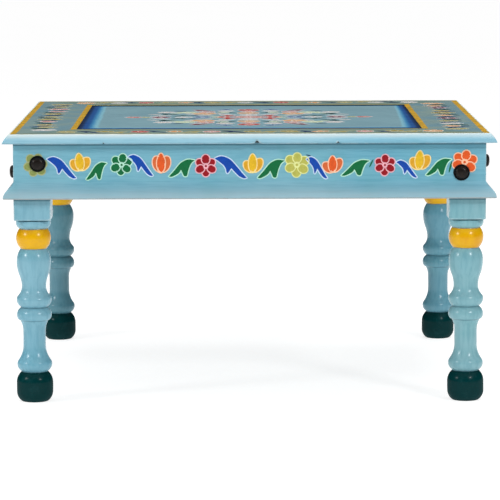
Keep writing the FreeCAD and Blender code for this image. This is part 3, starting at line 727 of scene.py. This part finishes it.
bandSwaps = {
    "front": {},
    "right": {
        "flower moss": "orange", "tulip orange": "yellow", "tulip yellow": "orange", "crimson": "olive",
    },
    "back": {"flower moss": "crimson", "flower crimson": "olive"},
    "left": {
        "flower moss": "crimson", "flower crimson": "orange", "tulip orange": "yellow",
        "tulip yellow": "orange",
    },
}


def bandShells(side):
    axes = [(1, 0, 0), (0, 0, 1), (0, -1, 0)]
    return laid(drawn(frontBand, swaps=bandSwaps[side]), (0, apronLow[1], 0), axes, sideTurns[side])


# The band on a top board: the front band once more, shorter and in quieter colours
borderBand = {"centre": 56.5, "bandMiddle": 389, "lengthShare": 0.86, "heightShare": 1.08}
borderSwaps = {
    "front": {
        "moss": "straw", "flower green": "red", "green": "straw", "blue": "navy", "flower crimson": "pink",
        "olive": "ochre", "yellow": "ochre", "orange": "peach",
    },
    "right": {
        "moss": "straw", "flower green": "pale", "green": "leafOnTop", "blue": "navy", "crimson": "maroon",
        "olive": "ochre", "tulip yellow": "peach", "tulip orange": "ochre", "flower orange": "peach",
    },
    "back": {
        "moss": "pale", "flower green": "straw", "green": "straw", "blue": "navy", "crimson": "red",
        "olive": "ochre", "yellow": "pale", "orange": "peach",
    },
    "left": {
        "moss": "straw", "flower green": "pink", "green": "leafOnTop", "blue": "navy", "crimson": "ochre",
        "olive": "ochre", "tulip yellow": "straw", "tulip orange": "pink", "flower orange": "pale",
    },
}


def borderShells(side):
    length, height = borderBand["lengthShare"], borderBand["heightShare"]
    origin = (0, boardLow[1] + borderBand["centre"] - height * borderBand["bandMiddle"], topFace)
    pairs = drawn(frontBand, relief["lineOnTopShare"], borderSwaps[side])
    return laid(pairs, origin, np.diag([length, height, 1]), sideTurns[side], relief["onTopShare"], "board")


# The medallion on the panel: one quarter of it, in millimetres from its own middle, which is mirrored
# across both middles
medallion = [
    ("flower", "pink", 0, 0, 27, 8, 0, "red"),
    ("flower", "red", 43, 0, 15, 6, 0, "pale"),
    ("flower", "cobalt", 80, 0, 17, 8, 0, "pale"),
    ("flower", "pale", 113, 0, 15, 6, 0.52, "red"),
    ("leaf", "leafOnTop", "falling", 104, 134, 20, 44),
    ("flower", "maroon", 153, 0, 17, 8, 0.2, "pale"),
    ("leaf", "pale", "falling", 136, 172, 18, 46),
    ("flower", "straw", 181, 0, 9, 5),
    ("flower", "pale", 0, 51, 19, 8, 0, "red"),
    ("leaf", "red", "rising", 18, 48, 18, 46),
    ("flower", "peach", 0, 96, 20, 6, 0.52, "maroon"),
    ("leaf", "pale", "rising", 22, 60, 52, 86),
    ("leaf", "leafOnTop", "rising", 22, 58, 96, 126),
    ("flower", "pink", 0, 134, 14, 5, 0.31),
    ("flower", "red", 0, 170, 20, 6, 0.52, "pale"),
    ("flower", "pale", 40, 146, 15, 6, 0.2, "ochre"),
    ("leaf", "cobalt", "falling", 24, 62, 166, 196),
    ("flower", "peach", 78, 82, 22, 6, 0.26, "maroon"),
    ("stroke", "pale", 78, 48, 30, 12, -20),
    ("flower", "pink", 74, 124, 16, 5, 0.1, "pale"),
    ("leaf", "maroon", "rising", 66, 102, 148, 180),
    ("flower", "sage", 110, 112, 19, 6, 0.5, "pale"),
    ("stroke", "pale", 104, 76, 26, 11, 60),
    ("flower", "pale", 146, 118, 17, 6, 0.2, "pink"),
    ("leaf", "leafOnTop", "rising", 124, 160, 62, 90),
    ("stroke", "navy", 122, 146, 24, 9, 28),
    ("stroke", "sage", 60, 22, 26, 10, 30),
    ("stroke", "navy", 96, 36, 20, 8, -35),
    ("flower", "sage", 44, 112, 10, 5, 0.2),
    ("stroke", "pale", 90, 148, 24, 9, -30),
    ("stroke", "sage", 128, 92, 22, 9, -24),
    ("stroke", "pale", 166, 66, 26, 10, -38),
]
# The long touch at each end of the medallion, in two coats: share of its size, pot and how much higher
medallionTip = {
    "from": 188, "length": 28, "width": 26, "coats": [(1, "pink", 0), (0.55, "red", 0.3)],
    "behind": 10,  # how far the whole medallion lies behind the middle of the panel
}


def mirrored(shell, flipX, flipY):  # each flip is 1 or -1
    points, faces, *rest = shell
    return points * [flipX, flipY, 1], [block[:, ::flipX * flipY] for block in faces], *rest


def medallionShells():
    # a motif that stands on one of the middles isn't mirrored across it
    line, tip = relief["lineOnTopShare"], medallionTip
    pairs = []
    for motif in medallion:
        quarter = drawn([motif], line)
        middle = joined([fill for fill, edge in quarter])[0].mean(axis=0)
        flipsX, flipsY = ((1,) if abs(place) < 3 else (1, -1) for place in middle[:2])
        pairs += [
            [part and mirrored(part, flipX, flipY) for part in pair]
            for flipX in flipsX for flipY in flipsY for pair in quarter]
    for way, angle in ((1, 0), (-1, math.pi)):
        for share, pot, lift in tip["coats"]:
            centre = (way * (tip["from"] + share * tip["length"] / 2), 0)
            path = oval(centre, angle, share * tip["length"], share * tip["width"], point=0.85)
            pairs.append(painted(path, pot, line, lift))
    return laid(pairs, (0, tip["behind"], panelHigh[2]), np.eye(3), 0, relief["onTopShare"], "panel")


# Materials

class Nodes:
    # short way to add shader nodes to a material or a world: values that are sockets are linked, the
    # rest are set

    def __init__(self, owner):
        owner.use_nodes = True
        self.owner, self.tree = owner, owner.node_tree

    def put(self, sockets, values):
        for key, value in values.items():
            if isinstance(value, bpy.types.NodeSocket):
                self.tree.links.new(value, sockets[key])
            else:
                sockets[key].default_value = value

    def add(self, kind, values=None, output=0, **settings):
        node = self.tree.nodes.new("ShaderNode" + kind)
        for key, value in settings.items():
            setattr(node, key, value)
        self.put(node.inputs, values or {})
        return node.outputs[output]

    def finished(self, values, shader="Principled BSDF"):
        self.put(self.tree.nodes[shader].inputs, values)
        return self.owner

    def place(self, stretch=(1, 1, 1)):  # the object's own coordinates, drawn out where stretch is small
        return self.add("Mapping", {"Vector": self.add("TexCoord", output=3), "Scale": stretch})

    def along(self, axis):  # the object's X, Y or Z in millimetres, for 0, 1 or 2
        return self.maths("DIVIDE", self.add("SeparateXYZ", {0: self.add("TexCoord", output=3)}, axis), mm)

    def noise(self, scale, detail=3, rough=0.55, warp=0, stretch=(1, 1, 1)):
        return self.add("TexNoise", {
            "Vector": self.place(stretch), "Scale": scale, "Detail": detail, "Roughness": rough,
            "Distortion": warp,
        })

    def spread(self, amount, scale, detail=2, rough=0.55):  # noise from -amount to amount
        return self.ramp(self.noise(scale, detail, rough), 0, 1, -amount, amount, smooth=False)

    def ramp(self, value, low, high, start=0, end=1, smooth=True):
        sockets = {"Value": value, "From Min": low, "From Max": high, "To Min": start, "To Max": end}
        return self.add("MapRange", sockets, interpolation_type="SMOOTHSTEP" if smooth else "LINEAR")

    def within(self, value, low, high, soft):  # 1 between two values and 0 outside, with soft steps
        rise = self.ramp(value, low - soft, low + soft)
        return self.times(rise, self.ramp(value, high - soft, high + soft, 1, 0))

    def maths(self, operation, first, second=0):
        return self.add("Math", {0: first, 1: second}, operation=operation)

    def times(self, first, second):
        return self.maths("MULTIPLY", first, second)

    def mix(self, share, first, second, blend="MIX"):
        ends = [end if isinstance(end, bpy.types.NodeSocket) else (*end, 1) for end in (first, second)]
        return self.add("Mix", {0: share, 6: ends[0], 7: ends[1]}, 2, data_type="RGBA", blend_type=blend)

    def bump(self, height, depth, strength, **under):  # depth in millimetres
        return self.add("Bump", {"Height": height, "Distance": depth * mm, "Strength": strength, **under})


def newMaterial(name):
    return Nodes(bpy.data.materials.new(name))


enamel = {
    "colour": (0.146, 0.392, 0.5), "fadedColour": (0.19, 0.428, 0.52), "greenColour": (0.134, 0.38, 0.458),
    "streakColour": (0.55, 0.72, 0.78), "wornColour": (0.42, 0.53, 0.55), "bareColour": (0.21, 0.17, 0.13),
    "chipColour": (0.03, 0.032, 0.03), "roughness": 0.34, "coatRoughness": 0.22,
    # painted shade: the dark colour, and how far below an overhang it ends and fades; the legs' creases use
    # the same colour
    "paintedShadeColour": (0.06, 0.15, 0.19), "paintedShadeHeight": 4.8, "paintedShadeFade": 1.6,
}
# The way the brush went on each side: streaks and grain are drawn out along it
brushed = {side: (1, 0.06, 1) if side in ("left", "right") else (0.06, 1, 1) for side in sideTurns}


def brushStreaks(n, brush):
    return n.noise(330, 4, 0.6, stretch=brush)


def enamelBase(n, tint, brush):
    # hand-brushed enamel: slow drift between three blues, fine streaks along the brush, paler and here
    # and there bare edges, dark where the board is chipped (wear above 1). Gives the colour and the
    # streaks; n holds the nodes, here and in every material
    shades = [tuple(np.multiply(enamel[key], tint)) for key in ("colour", "fadedColour", "greenColour")]
    colour = n.mix(n.ramp(n.noise(4, 4), 0.35, 0.68), shades[0], shades[1])
    colour = n.mix(n.ramp(n.noise(11, warp=0.6), 0.5, 0.75, end=0.7), colour, shades[2])
    streaks = brushStreaks(n, brush)
    colour = n.mix(n.ramp(streaks, 0.38, 0.72, end=0.46), colour, enamel["streakColour"], "MULTIPLY")
    wear = n.add("Attribute", output=2, attribute_name="wear")
    scuffs = n.ramp(n.noise(140, 6, 0.7), 0.38, 0.6, end=0.85)
    bare = n.ramp(n.noise(31, 5, 0.7), 0.56, 0.66)
    under = n.mix(bare, enamel["wornColour"], enamel["bareColour"])
    colour = n.mix(n.times(n.ramp(wear, 0.25, 1), scuffs), colour, under)
    return n.mix(n.ramp(wear, 1.2, 1.7), colour, enamel["chipColour"]), streaks


def finishEnamel(n, colour, streaks, roughness=enamel["roughness"], specular=0.25, coat=0):
    # uneven sheen over a soft ripple, with the brush's streaks as fine ridges
    ripple = n.bump(n.noise(55, 2), 0.4, 0.25)
    return n.finished({
        "Base Color": colour, "Specular IOR Level": specular, "Coat Weight": coat,
        "Roughness": n.ramp(n.noise(38, 4), 0.3, 0.7, roughness - 0.04, roughness + 0.07, smooth=False),
        "Coat Roughness": enamel["coatRoughness"], "Normal": n.bump(streaks, 0.05, 0.5, Normal=ripple),
    })


def shaded(n, colour, below):
    # painted shade in the corner under an overhang: a dark line that ends a few millimetres below it
    start = below - enamel["paintedShadeHeight"]
    share = n.ramp(n.along(2), start, start + enamel["paintedShadeFade"], end=0.8)
    return n.mix(share, colour, enamel["paintedShadeColour"])


def paled(n, colour, streaks, start, full, share, pale):
    # paint made paler from one height to another, either way up: rubbed paint, and on the lip a painted
    # highlight as well
    ends = (0, share) if start < full else (share, 0)
    rubbed = n.ramp(n.along(2), min(start, full), max(start, full), *ends)
    return n.mix(n.times(rubbed, n.ramp(streaks, 0.3, 0.7, start=0.6)), colour, pale)


def boxMaterial(side):
    n = newMaterial("boxPaint" + side.title())
    colour, streaks = enamelBase(n, (1, 1, 1), brushed[side])
    # painted shade along the top of the box, under the lip
    return finishEnamel(n, shaded(n, colour, apronHigh[2]), streaks)


mouldingPaint = {
    "tint": (1.14, 1.03, 1.03),
    # paint made paler: height above the foot where it starts and is full, share and colour; first a paler
    # lower part, painted light where the round faces up, then the worn bare nose
    "rubbed": [(24, 3, 0.45, (0.46, 0.52, 0.54)), (2.5, 1.5, 0.75, (0.27, 0.28, 0.27))],
}


def mouldingMaterial(side):
    n = newMaterial("mouldingPaint" + side.title())
    colour, streaks = enamelBase(n, mouldingPaint["tint"], brushed[side])
    for start, full, share, pale in mouldingPaint["rubbed"]:
        colour = paled(n, colour, streaks, mouldingLow[2] + start, mouldingLow[2] + full, share, pale)
    return finishEnamel(n, colour, streaks)


borderPaint = {
    "side": {
        "stripe": (0.45, 0.24, 0.012), "stripeShade": (0.26, 0.168, 0.022), "stripeWidth": 9.5,
        "ground": (0.092, 0.165, 0.195), "groundShade": (0.13, 0.185, 0.175),
    },
    "end": {
        "stripe": (0.2, 0.185, 0.095), "stripeShade": (0.17, 0.165, 0.085), "stripeWidth": 10.5,
        "ground": (0.092, 0.152, 0.15), "groundShade": (0.124, 0.166, 0.126),
    },
    # the lip's pale colour and its share are rubbed paint with a painted highlight from the light overhead
    "openingFaceDarkAndShade": (0.018, 0.042, 0.055), "lipTint": (1.28, 0.99, 0.98), "lipPaleAndHighlight": (0.68, 0.63, 0.54),
    "lipHighlightShare": 0.5, "arrisGap": 1.5, "wobble": 0.9, "roughness": 0.42, "specular": 0.08,
}


def borderMaterial(side):
    # top boards: blue lip that pales towards the arris, rubbed paint with a painted highlight, yellow
    # stripes along the arris and along the opening, greyer blue between them, and a dark edge down to the
    # panel, dark paint with painted shade of the recess. Stripes follow the larger of |X| and |Y|, which is
    # the distance from the table's middle measured square
    n = newMaterial("borderPaint" + side.title())
    own = {**borderPaint, **borderPaint["side" if side in ("left", "right") else "end"]}
    colour, streaks = enamelBase(n, own["lipTint"], brushed[side])
    square = n.maths("MAXIMUM", *(n.maths("ABSOLUTE", n.along(axis)) for axis in (0, 1)))
    distance = n.maths("ADD", square, n.spread(own["wobble"], 26))
    # the lip's upper slope made paler: rubbed paint and a painted highlight
    colour = paled(n, colour, streaks, boardLow[2] + 5, topFace, own["lipHighlightShare"], own["lipPaleAndHighlight"])
    onTop = n.ramp(n.along(2), topFace - 1.1, topFace - 0.6)
    # dark edge down to the panel: dark paint with painted shade of the recess
    colour = n.mix(n.ramp(distance, opening + 2, opening + 6, 1, 0), colour, own["openingFaceDarkAndShade"])
    first, last = opening - 3, boardHigh[0] - topBoard["lipReach"] - own["arrisGap"]
    ground = n.mix(n.ramp(n.noise(20, 4), 0.35, 0.65), own["ground"], own["groundShade"])
    colour = n.mix(n.times(n.within(distance, first, last, 0.4), onTop), colour, ground)
    outer = n.within(distance, last - own["stripeWidth"], last, 0.5)
    inner = n.within(distance, first, opening + own["stripeWidth"], 0.5)
    stripe = n.mix(n.ramp(n.noise(90, 5, 0.65), 0.36, 0.6), own["stripe"], own["stripeShade"])
    colour = n.mix(n.times(n.maths("MAXIMUM", outer, inner), onTop), colour, stripe)
    return finishEnamel(n, colour, streaks, own["roughness"], own["specular"])


panelPaint = {
    # the ground is the panel's own blue, greyed partly by a painted reflection of the bright studio on the
    # top
    "ground": (0.114, 0.199, 0.231), "groundShade": (0.126, 0.216, 0.247),
    # bands brushed in from the opening: where each starts and is full, and its colour
    "bands": [
        (37, 31, (0.13, 0.285, 0.345)), (32, 21, (0.02, 0.135, 0.275)),
        # the last band, near black at the opening, is navy paint with painted shade of the recess edge in it
        (25, 14, (0.005, 0.034, 0.145)), (12, 3, (0.004, 0.01, 0.032)),
    ],
    "narrowerShares": {"left": 0.3, "right": 0.85},   # how much narrower they run towards the back
    # where they start from the opening, and their reach as a share of the sides' reach
    "front": {"starts": 33, "reachShare": 0.78}, "back": {"starts": 0, "reachShare": 0.25},
    "wobble": 2.5, "bristles": 4, "thinShare": 0.72,   # the thinnest the brushed cobalt gets in its streaks
    "roughness": 0.42, "specular": 0.06,
}


def panelMaterial():
    # light blue, with cobalt brushed in from the opening over a pale rim, darkest at the opening; far in
    # from the front, little from the back. The underside stays plain
    n = newMaterial("panelPaint")
    own, x, y = panelPaint, n.along(0), n.along(1)
    streaks = brushStreaks(n, brushed["front"])
    colour = n.mix(n.ramp(n.noise(9, 4), 0.35, 0.65), own["ground"], own["groundShade"])
    depths = []
    for name, way in (("left", -1), ("right", 1)):
        narrower = n.ramp(y, -opening, opening, 1, 1 + own["narrowerShares"][name], smooth=False)
        depths.append(n.times(n.maths("SUBTRACT", opening, n.times(x, way)), narrower))
    for name, way in (("front", -1), ("back", 1)):
        depth = n.maths("SUBTRACT", opening - own[name]["starts"], n.times(y, way))
        depths.append(n.maths("DIVIDE", depth, own[name]["reachShare"]))
    depth = n.maths("MINIMUM", n.maths("MINIMUM", *depths[:2]), n.maths("MINIMUM", *depths[2:]))
    ragged = n.maths("ADD", n.spread(own["bristles"], 70, 6, 0.7), n.spread(own["wobble"], 26))
    middle = (panelLow[2] + panelHigh[2]) / 2
    covering = n.times(n.ramp(n.along(2), middle, middle + 1), n.ramp(streaks, 0.3, 0.65, own["thinShare"]))
    for outer, inner, shade in own["bands"]:
        edge = n.maths("ADD", depth, n.times(ragged, outer / own["bands"][0][0]))
        colour = n.mix(n.times(n.ramp(edge, inner, outer, 1, 0), covering), colour, shade)
    return finishEnamel(n, colour, streaks, own["roughness"], own["specular"])


legPaint = {
    "yellow": (0.74, 0.4, 0.001), "yellowDeep": (0.66, 0.31, 0.001),
    "teal": (0.0003, 0.03, 0.032), "tealWorn": (0.012, 0.06, 0.065),
    "bead": (252, 285), "foot": 49.5, "wobble": 0.7, "brush": (0.6, 0.6, 0.08),
    # painted shade: each crease of the turning is darkened by this share
    "creases": (49.5, 134.3, 155.5, 252, 285, 299.2), "creaseShadeShare": 0.55,
    "coat": 0.48, "footCoat": 0.15, "specular": 0.05,   # the foot has no sheen under its clear coat
    # the front legs get tints of the paint; the back legs are darkened with painted shade, as under the top
    "tintsAndShade": {
        "front_left": (1.08, 0.98, 0.98), "front_right": (1.18, 0.99, 0.9),
        "back_left": (0.7, 0.65, 0.64), "back_right": (0.9, 0.82, 0.81),
    },
}


def legMaterial(corner):
    # blue enamel, a yellow bead and a dark teal foot, parted at the turning's creases by hand, with painted
    # shade in each crease and on the block under the moulding
    n, own = newMaterial("legPaint" + corner.title().replace("_", "")), legPaint
    colour, streaks = enamelBase(n, own["tintsAndShade"][corner], own["brush"])
    height = n.maths("ADD", n.along(2), n.spread(own["wobble"], 55))
    yellow = n.mix(n.ramp(n.noise(30, 4), 0.4, 0.68), own["yellow"], own["yellowDeep"])
    colour = n.mix(n.within(height, *own["bead"], 0.35), colour, yellow)
    foot = n.ramp(height, own["foot"] - 0.3, own["foot"] + 0.3, 1, 0)
    teal = n.mix(n.ramp(n.noise(60, 6, 0.65), 0.48, 0.7, end=0.3), own["teal"], own["tealWorn"])
    # painted shade on the block, under the moulding
    colour = shaded(n, n.mix(foot, colour, teal), mouldingLow[2])
    # painted shade in each crease of the turning
    for level in own["creases"]:
        creaseShade = n.times(n.within(height, level - 0.9, level + 0.9, 0.6), own["creaseShadeShare"])
        colour = n.mix(creaseShade, colour, enamel["paintedShadeColour"])
    coat = n.ramp(foot, 0, 1, own["coat"], own["footCoat"], smooth=False)
    specular = n.ramp(foot, 0, 1, own["specular"], 0, smooth=False)
    return finishEnamel(n, colour, streaks, specular=specular, coat=coat)


def pigmentMaterial(name, roughness, specular=0.2):
    # thick brushed colour: the piece's own pigment, thinner and deeper in streaks
    n = newMaterial(name)
    pigment = n.add("Attribute", attribute_name="pigment")
    body = n.noise(210, 5, 0.65)
    return n.finished({
        "Base Color": n.mix(n.ramp(body, 0.35, 0.7, end=0.35), pigment, (0.55, 0.55, 0.55), "MULTIPLY"),
        "Roughness": n.ramp(body, 0, 1, roughness - 0.06, roughness + 0.1),
        "Specular IOR Level": specular, "Normal": n.bump(n.noise(520), 0.2, 0.5),
    })


def ironMaterial(name, colour, rubbed):
    # blackened iron: uneven sheen, brown where handling has rubbed it
    n = newMaterial(name)
    rub = n.ramp(n.noise(260, 6, 0.7), 0.45, 0.75)
    return n.finished({
        "Base Color": n.mix(rub, colour, rubbed), "Roughness": n.ramp(rub, 0, 1, 0.3, 0.46),
        "Specular IOR Level": 0.16, "Normal": n.bump(n.noise(420), 0.3, 0.55),
    })


def bareWoodMaterial(name, grain):
    # planed softwood: growth rings and fine fibres, drawn out along the grain
    n = newMaterial(name)
    rings = n.add("TexWave", {
        "Vector": n.place(grain), "Scale": 62, "Distortion": 5, "Detail": 2, "Detail Scale": 0.35,
    }, output=1, wave_type="BANDS", bands_direction="DIAGONAL")
    fibres = n.noise(700, 4, 0.6, stretch=grain)
    colour = n.mix(n.ramp(rings, 0.25, 0.95), (0.52, 0.345, 0.185), (0.4, 0.235, 0.11))
    return n.finished({
        "Base Color": n.mix(n.ramp(fibres, 0.35, 0.7, end=0.5), colour, (0.34, 0.21, 0.11)),
        "Roughness": n.ramp(rings, 0, 1, 0.58, 0.72), "Normal": n.bump(fibres, 0.2, 0.35),
    })


def steelMaterial():
    # zinc-plated steel: fine cloudy plating
    n = newMaterial("zincSteel")
    cloud = n.noise(300, 5)
    return n.finished({
        "Base Color": n.mix(n.ramp(cloud, 0.3, 0.7), (0.5, 0.5, 0.48), (0.36, 0.37, 0.38)),
        "Roughness": n.ramp(cloud, 0, 1, 0.26, 0.48), "Metallic": 1, "Normal": n.bump(cloud, 0.1, 0.3),
    })


# Making the table

print("making the boards")
for side in sideTurns:
    for name, shape, paint, node in (
        ("top_board", topBoardShell, borderMaterial, f"top_{side}_board"),
        ("box_board", apronShell, boxMaterial, f"apron_{side}"),
        ("base_moulding", mouldingShell, mouldingMaterial, f"moulding_{side}"),
    ):
        makePiece(f"{name}_{side}", shape(side), paint(side), [node])
makePiece("sunk_panel", panelShell(), panelMaterial(), ["top_panel"])

print("turning the legs")
for corner, turn in {"front_left": 0, "front_right": 90, "back_right": 180, "back_left": 270}.items():
    makePiece(f"turned_leg_{corner}", legShell(turn), legMaterial(corner), [f"leg_{corner}"])

print("setting the bolts")
boltIron = ironMaterial("boltIron", (0.008, 0.006, 0.005), (0.024, 0.015, 0.011))
rosetteIron = ironMaterial("rosetteIron", (0.002, 0.0025, 0.0035), (0.006, 0.006, 0.007))
makePiece("bolts", boltShells(boltProfile()), boltIron, ["leg_bolts"])
makePiece("rosettes", boltShells(rosetteProfile(), wrap=True), rosetteIron, ["bolt_rosettes"])

print("painting the flowers")
sidePaints = [pigmentMaterial("flowerPaint", 0.42), pigmentMaterial("linePaint", 0.38)]
topPaints = [pigmentMaterial("topFlowerPaint", 0.62, 0.04), pigmentMaterial("topLinePaint", 0.58, 0.04)]
borders = [joined(layer) for layer in zip(*map(borderShells, sideTurns))]
for name, shells, paints in (
    *((f"band_{side}", bandShells(side), sidePaints) for side in sideTurns),
    ("border", borders, topPaints), ("medallion", medallionShells(), topPaints),
):
    for layer, shell, paint in zip(("colour", "line"), shells, paints):
        makePiece(f"{name}_{layer}", shell, paint)


def grainAxis(node):  # a board's longer way in plan
    low, high = nodeBox(node)
    return "XY"[np.argmax((high - low)[:2])]


print("finishing the packed nodes that stay")
woods = {
    "X": bareWoodMaterial("bareWoodAlongX", brushed["front"]),
    "Y": bareWoodMaterial("bareWoodAlongY", brushed["left"]),
}
steel = steelMaterial()
for entry in frame["record"]["subparts"]:
    if entry["material_slot"] in ("bare_wood", "plain_steel"):
        finish = woods[grainAxis(entry["node"])] if entry["material_slot"] == "bare_wood" else steel
        for slot in frame["nodes"][entry["node"]].material_slots:
            slot.material = finish


# Floor, light and camera

studio = {"floorHalf": 40000, "floorGlow": 0.8, "floorShades": ((0.34, 0.34, 0.34), (0.36, 0.36, 0.36))}


def stageFloor():
    # white acrylic lit from below, as under a product on a light table
    n = newMaterial("paleFloor")
    material = n.finished({
        "Base Color": n.mix(n.noise(1.5, 2), *studio["floorShades"]), "Roughness": 0.7,
        "Emission Color": (1, 1, 1, 1), "Emission Strength": studio["floorGlow"],
    })
    half = studio["floorHalf"] * mm
    mesh = bpy.data.meshes.new("floor")
    corners = [(-half, -half, 0), (half, -half, 0), (half, half, 0), (-half, half, 0)]
    mesh.from_pydata(corners, [], [(0, 1, 2, 3)])
    mesh.materials.append(material)
    floor = bpy.data.objects.new("floor", mesh)
    bpy.context.scene.collection.objects.link(floor)


lights = {  # place, what it faces, size and strength: metres and watts
    "keyRight": {"at": (2.2, -3.2, 2.3), "facing": (0, -0.2, 0.25), "size": (0.6, 0.46), "power": 62},
    "fillLeft": {"at": (-3.2, -1.9, 1.9), "facing": (0, -0.2, 0.25), "size": (0.6, 0.46), "power": 49},
    "overhead": {"at": (0, -0.1, 2.7), "facing": (0, -0.101, 0.4), "size": (2.4, 0.5), "power": 56},
    "behind": {"at": (0.6, 2.2, 4.4), "facing": (0, 0.2, 0.25), "size": (1.6, 1.2), "power": 28},
}


def addLights():
    for name, light in lights.items():
        data = bpy.data.lights.new(name, "AREA")
        data.shape = "RECTANGLE"
        data.size, data.size_y = light["size"]
        data.energy = light["power"]
        lamp = bpy.data.objects.new(name, data)
        aim = (Vector(light["facing"]) - Vector(light["at"])).to_track_quat("-Z", "Y")
        lamp.matrix_world = Matrix.Translation(light["at"]) @ aim.to_matrix().to_4x4()
        bpy.context.scene.collection.objects.link(lamp)


# Soft dome of light: strength near the horizon and overhead, and how high it starts and is full
domeLight = {"low": 0.03, "high": 0.88, "starts": 0.34, "full": 0.95, "seen": 1}


def addDome():
    # world light that grows with height; the camera sees it as plain white
    world = bpy.data.worlds.new("studio")
    bpy.context.scene.world = world
    n = Nodes(world)
    height = n.add("SeparateXYZ", {0: n.add("TexCoord")}, output=2)
    grown = n.ramp(height, *(domeLight[key] for key in ("starts", "full", "low", "high")))
    strength = n.add("Mix", {0: n.add("LightPath"), 2: grown, 3: domeLight["seen"]})
    n.finished({"Color": (1, 1, 1, 1), "Strength": strength}, "Background")


camera = {  # place in millimetres, angles in degrees: tilted down, turned to the right, rolled
    "at": (-17.8, -5371.8, 835.8), "down": 6.682, "right": 0.206, "roll": -0.157, "lens": 222.47,
}


def addCamera():
    # turned to look along Y from straight down, and then by its own angles
    data = bpy.data.cameras.new("camera")
    data.lens, data.sensor_width, data.clip_end = camera["lens"], 36, 200
    viewer = bpy.data.objects.new("camera", data)
    pose = Matrix.Translation(Vector(camera["at"]) * mm)
    for degrees, axis in ((-camera["right"], "Z"), (90 - camera["down"], "X"), (camera["roll"], "Z")):
        pose = pose @ Matrix.Rotation(math.radians(degrees), 4, axis)
    viewer.matrix_world = pose
    bpy.context.scene.collection.objects.link(viewer)
    bpy.context.scene.camera = viewer


print("setting up the studio")
stageFloor()
addLights()
addDome()
addCamera()
bpy.context.scene.view_settings.view_transform = "Standard"
